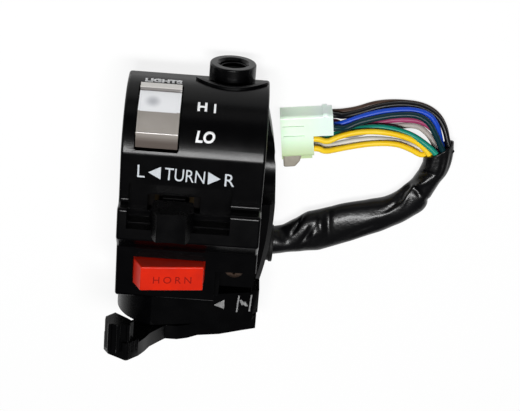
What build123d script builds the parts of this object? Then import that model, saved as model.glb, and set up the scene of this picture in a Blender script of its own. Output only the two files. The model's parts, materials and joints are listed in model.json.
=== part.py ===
from build123d import *
import math
import os

os.makedirs("parts", exist_ok=True)

# Left handlebar switch cluster, in millimetres.
# X runs along the handlebar, towards the middle of the bike.
# Y points up the switch, towards the mirror boss. Z points at the rider.
# The origin is on the bar's axis, in the middle of the housing.
# The two housing halves part on the plane Z = 0.

# Running clearances and overruns
seat_gap = 0.05
slide_gap = 0.3
pin_gap = 0.03
thread_gap = 0.04
overrun = 5.0

# Handlebar and housing
bar_diameter = 22.2
bar_radius = bar_diameter / 2
housing_width = 44.6
half_width = housing_width / 2
wall = 2.0
side_round = 0.9
corner_round = 1.2
step_round = 1.0
crease_round = 4.0

# Front shell profile, from the top seam down to the horn
crown_radius = 22.0
crown_centre_y = 8.0
seam_y = crown_centre_y + crown_radius
panel_level = 21.6
panel_fall = 0.5
brow_y = -4.1
brow_level = 27.0
brow_fall = 0.4
brow_low_y = -14.5
horn_face_y = -19.2
horn_face_level = 22.4
horn_face_fall = 0.8
bottom_y = -37.5
crease_angle = math.degrees(math.asin(panel_level / crown_radius))
crease_y = crown_centre_y + crown_radius * math.cos(math.radians(crease_angle))

# Rear shell profile and inboard flange
back_level = -17.0
rear_top_drop = 4.0
rear_top_run = 11.0
rear_foot_y = -38.0
rear_tail_y = -46.0
rear_tail_level = -11.0
flange_reach = 4.8
flange_top_y = 20.5
flange_middle_y = -5.0
flange_tail_reach = 0.8
flange_front_level = -0.6
flange_back_level = -13.5
flange_chamfer = 1.6
flange_relief = 1.0

# Mirror boss
boss_x = half_width - 12.0
boss_z = -5.5
boss_radius = 7.4
boss_top_y = 34.5
boss_root_y = 13.0
shoulder_top_y = 29.5
boss_thread_radius = 4.35
boss_thread_depth = 14.0
boss_chamfer = 0.8
boss_edge_round = 0.5

# Scoop and raised collar round the mirror boss
scoop_radius = 13.3
scoop_centre_z = -9.0
scoop_root_y = 26.4
collar_thickness = 1.2
collar_pride = 0.8

# Light dimmer rocker, set square to the crown
dimmer_x = 10.85 - half_width
dimmer_angle = 45.8
dimmer_window_height = 23.2
rocker_width = 12.9
dimmer_window_width = rocker_width + slide_gap * 3
rocker_skirt_width = 11.4
rocker_throw = 20.0
rocker_pivot_depth = 4.5
rocker_pin_radius = 1.0
rocker_face_depth = 2.3
rocker_lip_y = 11.0
rocker_lip_z = -1.9
rocker_lip_width = 1.9
rocker_lip_rise = 0.9
rocker_groove_depth = 0.7
rocker_valley_y = 8.3
rocker_ridge_y = -0.3
rocker_ridge_z = 1.8
rocker_edge_y = -7.6
rocker_toe_y = -10.9
rocker_toe_z = -2.0
rocker_rim_left = 0.6
rocker_rim_right = 1.0
rocker_face_sink = 0.35
rocker_hub_radius = 2.6
rocker_skirt_half_height = 8.4
rocker_skirt_depth = 4.2
rocker_cheek = 1.6
plunger_radius = 1.25
plunger_tube_radius = 2.1
plunger_tube_depth = 9.2
plunger_tip_depth = 10.9
plunger_shoulder_depth = 8.6
plunger_bore_depth = 6.2
plunger_spring_radius = 0.85
plunger_spring_wire = 0.25
plunger_spring_pitch = 0.85

# Dimmer base, behind the rocker
dimmer_floor_depth = 11.5
dimmer_floor_thickness = 1.5
dimmer_floor_half_height = 8.0
dimmer_ear_thickness = 1.4
dimmer_ear_foot = 4.6
dimmer_ear_round = 1.85
dimmer_lug_x = 9.9
dimmer_lug_y = -6.0
dimmer_lug_radius = 2.1
dimmer_boss_radius = 2.0
contact_thickness = 0.3
dimmer_contact_length = 2.6
dimmer_contact_width = 6.5
dimmer_contact_pitch = 3.6

# Turn signal recess, carriage and knob
recess_left = 3.0 - half_width
recess_right = half_width - 9.5
turn_x = recess_left + 14.1
recess_top_y = 2.2
recess_low_y = -10.8
recess_floor = 17.4
recess_floor_thickness = 1.6
rail_level = 22.6
rail_height = 0.8
rail_reach = 0.45
turn_travel = 4.5
stem_y = -5.6
turn_screw_y = -8.0
stem_radius = 2.2
sleeve_width = 7.0
sleeve_height = 5.0
carriage_width = 9.4
carriage_height = 8.2
carriage_bottom = 13.4
carriage_floor = 0.5
knob_press = 1.5
knob_half_width = 6.8
knob_root_half_width = 6.2
knob_face_half_width = 4.45
knob_root_level = 20.7
sleeve_top = knob_root_level - knob_press - slide_gap
knob_shoulder_level = 27.6
knob_face_level = 31.2
knob_top_y = -3.2
knob_low_y = -12.8
knob_stem_bottom = 17.0
knob_corner_cut = 1.6
knob_dish_depth = 0.55
knob_dish_radius = 16.0
knob_lip_level = 28.9
knob_waist_y = -9.7
knob_spring_radius = 1.65
knob_spring_wire = 0.25
knob_spring_pitch = 0.95
turn_board_level = 11.7
turn_board_thickness = 1.0
turn_board_left = recess_left - 0.5
turn_board_right = recess_right + 0.6
turn_board_low_y = -12.6
turn_board_top_y = -0.4
turn_screw_inset = 2.4
turn_contact_width = 3.2
turn_contact_height = 5.0
turn_contact_pitch = 4.6

# Horn button and its tray
horn_left = 5.8 - half_width
horn_right = half_width - 16.6
horn_top_y = -23.0
horn_low_y = -31.4
horn_play = 0.35
horn_shoulder_level = 23.6
horn_left_level = 28.5
horn_right_level = 25.7
horn_bevel_run = 2.6
horn_flange_pride = 0.8
horn_flange_thickness = 1.5
horn_travel = 2.5
horn_plunger_radius = 2.4
horn_edge_round = 0.45
horn_tray_wall = 1.0
horn_tray_floor = 8.2
horn_tray_floor_thickness = 1.2
horn_ear_level = 11.6
horn_ear_thickness = 1.4
horn_ear_y = -18.2
horn_ear_radius = 2.7
horn_ear_inset = 2.6
horn_disc_radius = 2.2
horn_disc_thickness = 0.5
horn_pad_radius = 2.2
horn_pad_thickness = 0.7
horn_contact_stack = horn_tray_floor_thickness + horn_pad_thickness + horn_disc_thickness
horn_plunger_bottom = horn_tray_floor + horn_contact_stack + horn_travel + slide_gap
horn_spring_radius = 3.3
horn_spring_wire = 0.4
horn_spring_pitch = 1.4

# Screw pocket beside the horn
pocket_left = half_width - 13.0
pocket_top_y = -26.1
pocket_floor = 10.0
pocket_floor_thickness = 2.5
pocket_rib_width = 1.6
pocket_rib_level = 17.0

# Screws
housing_screw_radius = 2.0
housing_head_radius = 3.2
housing_head_height = 2.4
front_screw_x = half_width - 6.8
front_screw_y = -29.7
front_screw_length = 19.0
pillar_radius = 4.2
rear_screw_x = 0.5
rear_screw_y = 17.0
rear_screw_seat = -13.0
rear_screw_length = 23.0
rear_screw_boss_radius = 3.4
rear_screw_boss_top = 16.0
small_screw_radius = 1.2
small_head_radius = 2.1
small_head_height = 1.2
small_screw_length = 3.6
small_boss_radius = 2.5
drive_slot_width = 0.9
drive_slot_depth_share = 0.5
drive_slot_length_share = 1.3

# Harness outlet
outlet_y = -30.8
outlet_z = -10.6
sleeve_radius = 4.7
grommet_radius = 5.9
grommet_lip_radius = 6.3
grommet_lip_width = 1.2
grommet_pride = 1.1
grommet_length = wall + flange_reach + grommet_pride
wire_well_left = 3.3 - half_width
wire_well_right = half_width - wall
wire_well_top_y = -17.5
wire_well_low_y = -35.8
wire_well_floor = -15.2

# Choke housing
choke_top_y = -37.6
choke_low_y = -50.0
choke_left = 0.4 - half_width
choke_left_bulge_x = choke_left + 3.1
choke_left_bulge_z = 12.0
choke_shoulder_x = -10.0
choke_shoulder_z = 17.2
choke_label_x = half_width - 13.3
choke_label_z = 13.2
choke_right = half_width + 2.1
choke_right_z = 10.0
choke_back_level = -11.5
choke_corner_round = 1.8
label_top_y = -39.2
choke_notch_y = rear_tail_y - seat_gap
choke_groove_y = -47.6
choke_groove_width = 0.9
choke_groove_depth = 1.6
choke_foot_bevel = 2.0
choke_screw_y = -42.0
choke_screw_left = 6.8 - half_width
choke_screw_right = half_width - 4.8
choke_screw_seat = -8.6
choke_screw_length = 14.0

# Choke lever, swinging on a screw that runs along Y
lever_x = 8.0
lever_z = -3.0
washer_radius = 5.5
washer_thickness = 0.4
lever_top_y = choke_low_y - washer_thickness - seat_gap * 2
lever_thickness = 5.0
lever_low_y = lever_top_y - lever_thickness
lever_reach = 42.0
lever_hub_radius = 12.5
pivot_radius = 3.0
pivot_head_radius = 5.0
pivot_head_height = 2.0
pivot_bite = 4.55
pivot_depth = choke_notch_y - lever_top_y + pivot_bite
nipple_radius = 2.4
nipple_share = (0.30, 0.05)
post_rise = 7.4
post_rib_radius = 0.7
tab_rise = 1.2
tab_grooves = 3
tab_groove_radius = 0.45
share_half = 0.5

# Harness sleeve: corners of its route, from inside the outlet to past its mouth
sleeve_route = [
    (wire_well_right, outlet_y, outlet_z),
    (33.0, outlet_y, outlet_z),
    (44.7, -24.3, -12.1),
    (60.7, -17.9, -12.1),
    (73.8, -10.8, -12.1),
    (81.9, 0.5, -12.1),
    (78.05, 11.25, -12.1),
]
mouth_place = (78.9, 8.9, -12.1)
mouth_normal = (-0.643, 0.766, 0)
cord_share = 0.45

# Plug at the far end of the harness, lying on the same surface as the switch
plug_x = 27.6
plug_y = 9.3
plug_turn = 7.5
plug_length = 17.2
plug_column_pitch = 3.4
plug_row_pitch = 3.0
plug_columns = "1234"
plug_rows = "abc"
plug_side_rim = 2.0
plug_top_rim = 1.8
plug_width = plug_column_pitch * (len(plug_columns) - 1) + plug_side_rim * 2
plug_height = plug_row_pitch * (len(plug_rows) - 1) + plug_top_rim * 2
plug_step_length = 10.6
plug_step_y = -0.1
plug_middle = back_level + plug_height / 2
plug_cavity = 2.5
plug_cavity_depth = 9.0
plug_corner = 1.0
plug_flange = 0.5
plug_flange_length = 3.2
latch_width = 5.0
latch_height = 1.6
latch_length = 10.0
terminal_thickness = 0.8
terminal_width = 1.9
terminal_length = 6.5

# Wires: cell in the plug, corners of the free run, place in the sleeve's mouth
wire_radius = 0.95
wire_stub = 5.4
wire_routes = {
    "black": ("4b", [(58.7, 20.4, -13.0)], 11.0, (3.4, 1.1)),
    "brown": ("4a", [(58.7, 22.8, -15.8)], 12.5, (3.4, -1.1)),
    "blue": ("3b", [(58.4, 14.7, -13.0), (67.0, 17.0, -13.0)], 8.0, (1.15, 0)),
    "teal": ("3c", [(59.0, 12.9, -10.3), (67.4, 15.6, -10.3)], 7.0, (1.15, 2.6)),
    "pink": ("3a", [(58.7, 18.6, -15.8)], 12.0, (1.15, -2.6)),
    "grey": ("2a", [(58.7, 13.2, -15.8), (66.2, 15.4, -15.8)], 7.2, (-1.15, -2.6)),
    "green": ("2b", [(58.7, 12.6, -12.9), (67.2, 13.6, -11.9)], 6.0, (-1.15, 2.6)),
    "yellow": ("2c", [(58.4, 10.2, -10.2), (66.4, 11.2, -10.4)], 5.0, (-3.4, 1.1)),
    "white": ("1b", [(58.8, 9.3, -13.0), (67.5, 12.2, -13.4)], 6.0, (-1.15, 0)),
    "yellow_lower": ("1c", [(58.4, 7.0, -10.6), (66.0, 9.7, -12.6)], 5.0, (-3.4, -1.1)),
}


def nearest(vertices, places):
    """Vertices of a sketch that lie closest to the given places."""
    chosen = []
    for place in places:
        chosen.append(min(vertices, key=lambda v: math.hypot(v.X - place[0], v.Y - place[1])))
    return chosen


def disc(seat, radius, depth, places=((0, 0),), mode=Mode.ADD):
    """Round solids of one radius in the active part, raised from the seat plane."""
    with BuildSketch(seat) as outline:
        with Locations(*places):
            Circle(radius)
    extrude(outline.sketch, amount=depth, mode=mode)


def slotted_screw(seat, radius, head_radius, head_height, length):
    """A pan head screw in the active part, its head's underside on the seat plane."""
    disc(seat, head_radius, head_height)
    disc(seat, radius, -length)
    with BuildSketch(seat.offset(head_height)) as drive:
        Rectangle(head_radius * drive_slot_length_share, drive_slot_width)
        Rectangle(drive_slot_width, head_radius * drive_slot_length_share)
    extrude(drive.sketch, amount=-head_height * drive_slot_depth_share, mode=Mode.SUBTRACT)


def coil(foot, radius, wire, pitch, height):
    """A spring in the active part: round wire wound along the foot plane's normal."""
    with BuildLine():
        turns = Helix(pitch, height - wire * 2, radius, (foot.offset(wire)).origin, foot.z_dir)
    with BuildSketch(Plane(origin=turns @ 0, z_dir=turns % 0)) as section:
        Circle(wire)
    sweep(section.sketch, path=turns)


def cord(route, radius):
    """A round cord in the active part: straight runs joined by tangent arcs."""
    bends = []
    for before, corner, after in zip(route, route[1:], route[2:]):
        run_in = Vector(corner) - Vector(before)
        run_out = Vector(after) - Vector(corner)
        half_turn = math.radians(run_in.get_angle(run_out)) / 2
        bends.append(cord_share * min(run_in.length, run_out.length) / math.tan(half_turn))
    with BuildLine():
        lay = FilletPolyline(*route, radius=bends)
    with BuildSketch(Plane(origin=lay @ 0, z_dir=lay % 0)) as section:
        Circle(radius)
    solid = sweep(section.sketch, path=lay)
    share = solid.volume / (math.pi * radius * radius * lay.length)
    tightest = [round(bend) for bend in bends]
    print("cord length", round(lay.length), "bends", tightest, "volume share", round(share, 3))


def block(x_low, x_high, y_low, y_high, z_low, z_high, mode=Mode.ADD):
    """A square block in the active part between two corners."""
    with BuildSketch(Plane.XY.offset(z_low)) as outline:
        with Locations(((x_low + x_high) / 2, (y_low + y_high) / 2)):
            Rectangle(x_high - x_low, y_high - y_low)
    extrude(outline.sketch, amount=z_high - z_low, mode=mode)


def bar_cut():
    """The handlebar's bore, cut from the active part."""
    disc(Plane.YZ.offset(-housing_width), bar_radius, housing_width * 2, mode=Mode.SUBTRACT)


def crown_band(inner_radius, outer_radius, y_low, y_high, mode=Mode.ADD):
    """An arched band over the mirror boss, above the parting plane, in the active part."""
    with BuildSketch(Plane.XZ.offset(-y_high)) as band:
        with Locations((boss_x, scoop_centre_z)):
            Circle(outer_radius)
            if inner_radius > 0:
                Circle(inner_radius, mode=Mode.SUBTRACT)
        with Locations((boss_x, 0)):
            Rectangle(outer_radius * 2, outer_radius * 2, align=(Align.CENTER, Align.MAX),
                      mode=Mode.SUBTRACT)
    extrude(band.sketch, amount=y_high - y_low, mode=mode)


def front_face(inset):
    """The front half's side outline, drawn in by the inset, on its left end plane."""
    with BuildSketch(Plane.YZ.offset(inset - half_width)) as outline:
        with BuildLine():
            crown = CenterArc((crown_centre_y, 0), crown_radius, 0, crease_angle)
            Polyline(
                crown @ 1,
                (brow_y, panel_level - panel_fall),
                (brow_y, brow_level - brow_fall),
                (brow_low_y, brow_level),
                (horn_face_y, horn_face_level),
                (bottom_y, horn_face_level - horn_face_fall),
                (bottom_y, 0),
                crown @ 0,
            )
        make_face()
        rounded = nearest(
            outline.vertices(),
            [
                (brow_y, brow_level - brow_fall),
                (brow_low_y, brow_level),
                (horn_face_y, horn_face_level),
                (bottom_y, horn_face_level - horn_face_fall),
            ],
        )
        fillet(rounded, corner_round)
        fillet(nearest(outline.vertices(), [(brow_y, panel_level - panel_fall)]), step_round)
        fillet(nearest(outline.vertices(), [(crease_y, panel_level)]), crease_round)
        if inset > 0:
            offset(amount=-inset, mode=Mode.REPLACE)
            with Locations(((seam_y + bottom_y) / 2, 0)):
                Rectangle(seam_y - bottom_y - inset * 2, inset * 3)
    return outline.sketch


dimmer_centre_y = crown_centre_y + crown_radius * math.sin(math.radians(dimmer_angle))
dimmer_centre_z = crown_radius * math.cos(math.radians(dimmer_angle))
dimmer_plane = Plane(
    origin=(dimmer_x, dimmer_centre_y, dimmer_centre_z),
    x_dir=(1, 0, 0),
    z_dir=(0, math.sin(math.radians(dimmer_angle)), math.cos(math.radians(dimmer_angle))),
)
dimmer_side = Plane(origin=dimmer_plane.origin, x_dir=dimmer_plane.y_dir, z_dir=(1, 0, 0))


# Core of the front shell: the room inside, less the islands that stay solid
with BuildPart() as front_core:
    extrude(front_face(wall), amount=housing_width - wall * 2, dir=(1, 0, 0))
    block(recess_left - wall, recess_right + wall, recess_low_y - wall, recess_top_y + wall,
          recess_floor - recess_floor_thickness, brow_level, mode=Mode.SUBTRACT)
    block(pocket_left - wall, half_width, bottom_y, pocket_top_y + wall,
          pocket_floor - pocket_floor_thickness, brow_level, mode=Mode.SUBTRACT)
    with BuildSketch(Plane.XY):
        with Locations((rear_screw_x, rear_screw_y)):
            Circle(rear_screw_boss_radius)
    extrude(amount=rear_screw_boss_top + wall * 2, mode=Mode.SUBTRACT)
    turn_boss_places = [
        (turn_board_left + turn_screw_inset, turn_screw_y),
        (turn_board_right - turn_screw_inset, turn_screw_y),
    ]
    with BuildSketch(Plane.XY.offset(turn_board_level + turn_board_thickness)):
        with Locations(*turn_boss_places):
            Circle(small_boss_radius)
    extrude(amount=recess_floor - turn_board_level, mode=Mode.SUBTRACT)
    horn_x = (horn_left + horn_right) / 2
    horn_boss_places = [
        (horn_left + horn_ear_inset, horn_ear_y),
        (horn_right - horn_ear_inset, horn_ear_y),
    ]
    with BuildSketch(Plane.XY.offset(horn_ear_level + horn_ear_thickness)):
        with Locations(*horn_boss_places):
            Circle(small_boss_radius)
    extrude(amount=brow_level - horn_ear_level, mode=Mode.SUBTRACT)
    with BuildSketch(dimmer_plane.offset(-dimmer_floor_depth)):
        with Locations((dimmer_lug_x, dimmer_lug_y)):
            Circle(dimmer_boss_radius)
    extrude(amount=dimmer_floor_depth, mode=Mode.SUBTRACT)

# Raised collar along the edge of the scoop
with BuildPart() as collar:
    crown_band(scoop_radius, scoop_radius + collar_thickness, scoop_root_y, seam_y + overrun)
    with BuildSketch(Plane.YZ.offset(-half_width)) as collar_limit:
        with Locations((crown_centre_y, 0)):
            Circle(crown_radius + collar_pride)
    extrude(collar_limit.sketch, amount=housing_width, mode=Mode.INTERSECT)

# Front shell
with BuildPart() as front_shell:
    extrude(front_face(0), amount=housing_width, dir=(1, 0, 0))
    ends = front_shell.faces().sort_by(Axis.X)
    rims = [edge for edge in ends[0].edges() + ends[-1].edges() if edge.center().Z > seat_gap]
    fillet(rims, side_round)
    add(front_core.part, mode=Mode.SUBTRACT)
    bar_cut()
    block(recess_left, recess_right, recess_low_y, recess_top_y, recess_floor, brow_level + overrun,
          mode=Mode.SUBTRACT)
    block(recess_left - wall / 2, recess_right + wall / 2,
          recess_low_y - wall / 2, recess_low_y + rail_reach, rail_level - rail_height, rail_level)
    slot_half = sleeve_width / 2 + turn_travel + slide_gap
    block(turn_x - slot_half, turn_x + slot_half,
          stem_y - sleeve_height / 2 - slide_gap, stem_y + sleeve_height / 2 + slide_gap,
          recess_floor - recess_floor_thickness - overrun, recess_floor + seat_gap, mode=Mode.SUBTRACT)
    block(horn_left - horn_play, horn_right + horn_play, horn_low_y - horn_play, horn_top_y + horn_play,
          horn_face_level - wall - overrun / 2, horn_face_level + overrun, mode=Mode.SUBTRACT)
    with BuildSketch(dimmer_plane):
        RectangleRounded(dimmer_window_width, dimmer_window_height, side_round)
    extrude(amount=rocker_pivot_depth * 2, both=True, mode=Mode.SUBTRACT)
    block(pocket_left, half_width + overrun, bottom_y - overrun, pocket_top_y,
          pocket_floor, brow_level, mode=Mode.SUBTRACT)
    block(pocket_left, pocket_left + pocket_rib_width, bottom_y, pocket_top_y,
          pocket_floor, pocket_rib_level)
    add(collar.part)
    crown_band(0, scoop_radius, scoop_root_y, seam_y + overrun, mode=Mode.SUBTRACT)
    with Locations(Plane((front_screw_x, front_screw_y, pocket_floor))):
        Hole(housing_screw_radius + thread_gap, depth=pocket_floor)
    with BuildSketch(Plane.XY):
        with Locations((rear_screw_x, rear_screw_y)):
            Circle(housing_screw_radius + thread_gap)
    extrude(amount=rear_screw_length + rear_screw_seat + seat_gap * 4, mode=Mode.SUBTRACT)
    with BuildSketch(Plane.XY.offset(turn_board_level + turn_board_thickness)):
        with Locations(*turn_boss_places):
            Circle(small_screw_radius + thread_gap)
    extrude(amount=small_screw_length, mode=Mode.SUBTRACT)
    with BuildSketch(Plane.XY.offset(horn_ear_level + horn_ear_thickness)):
        with Locations(*horn_boss_places):
            Circle(small_screw_radius + thread_gap)
    extrude(amount=small_screw_length, mode=Mode.SUBTRACT)
    with BuildSketch(dimmer_plane.offset(-dimmer_floor_depth)):
        with Locations((dimmer_lug_x, dimmer_lug_y)):
            Circle(small_screw_radius + thread_gap)
    extrude(amount=small_screw_length, mode=Mode.SUBTRACT)
front_shell.part.label = "front_shell"
export_step(front_shell.part, "parts/front_shell.step")


# Rear shell: the back half, with the inboard flange, the mirror boss and the wire well
def rear_face():
    """The back half's side outline, on its left end plane."""
    with BuildSketch(Plane.YZ.offset(-half_width)) as outline:
        with BuildLine():
            Polyline(
                (seam_y, 0),
                (seam_y, -rear_top_drop),
                (seam_y - rear_top_run, back_level),
                (rear_foot_y, back_level),
                (rear_tail_y, rear_tail_level),
                (rear_tail_y, 0),
                (seam_y, 0),
            )
        make_face()
        rounded = nearest(
            outline.vertices(),
            [
                (seam_y, -rear_top_drop),
                (seam_y - rear_top_run, back_level),
                (rear_foot_y, back_level),
                (rear_tail_y, rear_tail_level),
            ],
        )
        fillet(rounded, corner_round)
    return outline.sketch


with BuildPart() as flange:
    with BuildSketch(Plane.XY.offset(flange_back_level)):
        with BuildLine():
            flange_edge = ThreePointArc(
                (half_width, flange_top_y),
                (half_width + flange_reach, flange_middle_y),
                (half_width + flange_tail_reach, rear_tail_y),
            )
            Polyline(
                flange_edge @ 1,
                (half_width - wall, rear_tail_y),
                (half_width - wall, flange_top_y),
                flange_edge @ 0,
            )
        make_face()
    extrude(amount=flange_front_level - flange_back_level)
    chamfer(flange.edges().filter_by(GeomType.CIRCLE), flange_chamfer)
    extrude(rear_face(), amount=housing_width * 2, dir=(1, 0, 0), mode=Mode.INTERSECT)

boss_seat = Plane(origin=(boss_x, boss_top_y, boss_z), x_dir=(1, 0, 0), z_dir=(0, 1, 0))
outlet_seat = Plane(origin=(wire_well_right, outlet_y, outlet_z), x_dir=(0, 1, 0), z_dir=(1, 0, 0))
pillar_top = pocket_floor - pocket_floor_thickness - seat_gap
choke_screw_places = [(choke_screw_left, choke_screw_y), (choke_screw_right, choke_screw_y)]
pivot_seat = Plane(origin=(lever_x, lever_low_y, lever_z), x_dir=(1, 0, 0), z_dir=(0, -1, 0))

with BuildPart() as rear_shell:
    extrude(rear_face(), amount=housing_width, dir=(1, 0, 0))
    ends = rear_shell.faces().sort_by(Axis.X)
    rims = [edge for edge in ends[0].edges() + ends[-1].edges() if edge.center().Z < -seat_gap]
    fillet(rims, side_round)
    add(flange.part)
    disc(boss_seat, boss_radius, boss_root_y - boss_top_y)
    fillet(rear_shell.faces().sort_by(Axis.Y)[-1].edges(), boss_edge_round)
    block(-half_width, half_width, boss_root_y - boss_radius, scoop_root_y + seat_gap, 0, boss_radius,
          mode=Mode.SUBTRACT)
    crown_band(0, scoop_radius - slide_gap, scoop_root_y + seat_gap, shoulder_top_y)
    bar_cut()
    disc(Plane.YZ.offset(half_width), bar_radius + flange_relief, flange_reach * 2,
         mode=Mode.SUBTRACT)
    disc(boss_seat, boss_thread_radius, -boss_thread_depth, mode=Mode.SUBTRACT)
    mouth = rear_shell.faces().sort_by(Axis.Y)[-1].edges().sort_by(SortBy.RADIUS)[0]
    chamfer(mouth, boss_chamfer)
    block(wire_well_left, wire_well_right, wire_well_low_y, wire_well_top_y, wire_well_floor, 0,
          mode=Mode.SUBTRACT)
    disc(Plane((front_screw_x, front_screw_y, wire_well_floor)), pillar_radius, pillar_top - wire_well_floor)
    disc(Plane((front_screw_x, front_screw_y, pillar_top)), housing_screw_radius + thread_gap,
         pocket_floor - front_screw_length - pillar_top - slide_gap, mode=Mode.SUBTRACT)
    disc(outlet_seat, grommet_radius + seat_gap, overrun * 2, mode=Mode.SUBTRACT)
    disc(Plane.XY, housing_screw_radius + thread_gap, -housing_width, [(rear_screw_x, rear_screw_y)],
         Mode.SUBTRACT)
    disc(Plane.XY.offset(rear_screw_seat), housing_head_radius + slide_gap, -housing_width,
         [(rear_screw_x, rear_screw_y)], Mode.SUBTRACT)
    disc(Plane.XY, housing_screw_radius + thread_gap, -housing_width, choke_screw_places, Mode.SUBTRACT)
    disc(Plane.XY.offset(choke_screw_seat), housing_head_radius + slide_gap, -housing_width,
         choke_screw_places, Mode.SUBTRACT)
    disc(pivot_seat, pivot_radius + slide_gap, -pivot_depth - lever_thickness - slide_gap * 2,
         mode=Mode.SUBTRACT)
rear_shell.part.label = "rear_shell"
export_step(rear_shell.part, "parts/rear_shell.step")

# Screws that hold the two halves together
with BuildPart() as housing_screws:
    slotted_screw(Plane((front_screw_x, front_screw_y, pocket_floor)), housing_screw_radius,
                  housing_head_radius, housing_head_height, front_screw_length)
    slotted_screw(Plane((rear_screw_x, rear_screw_y, rear_screw_seat), z_dir=(0, 0, -1)),
                  housing_screw_radius, housing_head_radius, housing_head_height, rear_screw_length)
housing_screws.part.label = "housing_screws"
export_step(housing_screws.part, "parts/housing_screws.step")

# Light dimmer rocker: outline along the crown on one side, drawn on dimmer_side
pin_seat = dimmer_plane.offset(-rocker_pivot_depth)
plunger_lean = rocker_throw / 2
plunger_plane = Plane(
    origin=pin_seat.origin,
    x_dir=(1, 0, 0),
    z_dir=(
        0,
        math.sin(math.radians(dimmer_angle + plunger_lean)),
        math.cos(math.radians(dimmer_angle + plunger_lean)),
    ),
)
groove_z = rocker_lip_z + rocker_lip_rise - rocker_groove_depth

with BuildPart() as dimmer_rocker:
    with BuildSketch(dimmer_side.offset(-rocker_width / 2)) as rocker_face:
        with BuildLine():
            Polyline(
                (rocker_lip_y, -rocker_face_depth),
                (rocker_lip_y, rocker_lip_z),
                (rocker_lip_y - rocker_lip_width, rocker_lip_z + rocker_lip_rise),
                (rocker_valley_y, groove_z),
                (rocker_ridge_y, rocker_ridge_z),
                (rocker_edge_y, rocker_ridge_z),
                (rocker_toe_y, rocker_toe_z),
                (rocker_toe_y, -rocker_face_depth),
                (rocker_lip_y, -rocker_face_depth),
            )
        make_face()
        fillet(nearest(rocker_face.vertices(), [(rocker_edge_y, rocker_ridge_z)]), corner_round)
    extrude(amount=rocker_width)
    with BuildSketch(dimmer_side.offset(rocker_rim_left - rocker_width / 2)):
        with BuildLine():
            Polyline(
                (rocker_valley_y, groove_z),
                (rocker_valley_y, rocker_ridge_z + overrun),
                (rocker_edge_y, rocker_ridge_z + overrun),
                (rocker_edge_y, rocker_ridge_z - rocker_face_sink),
                (rocker_ridge_y, rocker_ridge_z - rocker_face_sink),
                (rocker_valley_y, groove_z),
            )
        make_face()
    extrude(amount=rocker_width - rocker_rim_left - rocker_rim_right, mode=Mode.SUBTRACT)
    for cheek_start in (-rocker_skirt_width / 2, rocker_skirt_width / 2 - rocker_cheek):
        with BuildSketch(dimmer_side.offset(cheek_start)):
            with BuildLine():
                Polyline(
                    (rocker_skirt_half_height, -rocker_face_depth),
                    (-rocker_skirt_half_height, -rocker_face_depth),
                    (-rocker_hub_radius, -rocker_face_depth - rocker_skirt_depth),
                    (rocker_hub_radius, -rocker_face_depth - rocker_skirt_depth),
                    (rocker_skirt_half_height, -rocker_face_depth),
                )
            make_face()
        extrude(amount=rocker_cheek)
    disc(dimmer_side.offset(-rocker_skirt_width / 2), rocker_hub_radius, rocker_skirt_width,
         [(0, -rocker_pivot_depth)])
    disc(plunger_plane, plunger_tube_radius, rocker_pivot_depth - plunger_tube_depth)
    disc(plunger_plane.offset(rocker_pivot_depth - plunger_tube_depth), plunger_radius + seat_gap,
         plunger_tube_depth - plunger_bore_depth, mode=Mode.SUBTRACT)
    disc(dimmer_side.offset(-rocker_width), rocker_pin_radius + pin_gap, rocker_width * 2,
         [(0, -rocker_pivot_depth)], Mode.SUBTRACT)
dimmer_rocker.part.label = "dimmer_rocker"
export_step(dimmer_rocker.part, "parts/dimmer_rocker.step")

# Spring plunger that wipes the dimmer contacts
with BuildPart() as dimmer_plunger:
    disc(plunger_plane.offset(rocker_pivot_depth - plunger_tip_depth), plunger_radius,
         plunger_tip_depth - plunger_shoulder_depth)
    plunger_ends = dimmer_plunger.edges().filter_by(GeomType.CIRCLE)
    fillet(plunger_ends.sort_by(Axis(plunger_plane.origin, plunger_plane.z_dir))[0], plunger_radius / 2)
dimmer_plunger.part.label = "dimmer_plunger"
export_step(dimmer_plunger.part, "parts/dimmer_plunger.step")

with BuildPart() as dimmer_plunger_spring:
    coil(plunger_plane.offset(rocker_pivot_depth - plunger_shoulder_depth), plunger_spring_radius,
         plunger_spring_wire, plunger_spring_pitch, plunger_shoulder_depth - plunger_bore_depth)
dimmer_plunger_spring.part.label = "dimmer_plunger_spring"
export_step(dimmer_plunger_spring.part, "parts/dimmer_plunger_spring.step")

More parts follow.
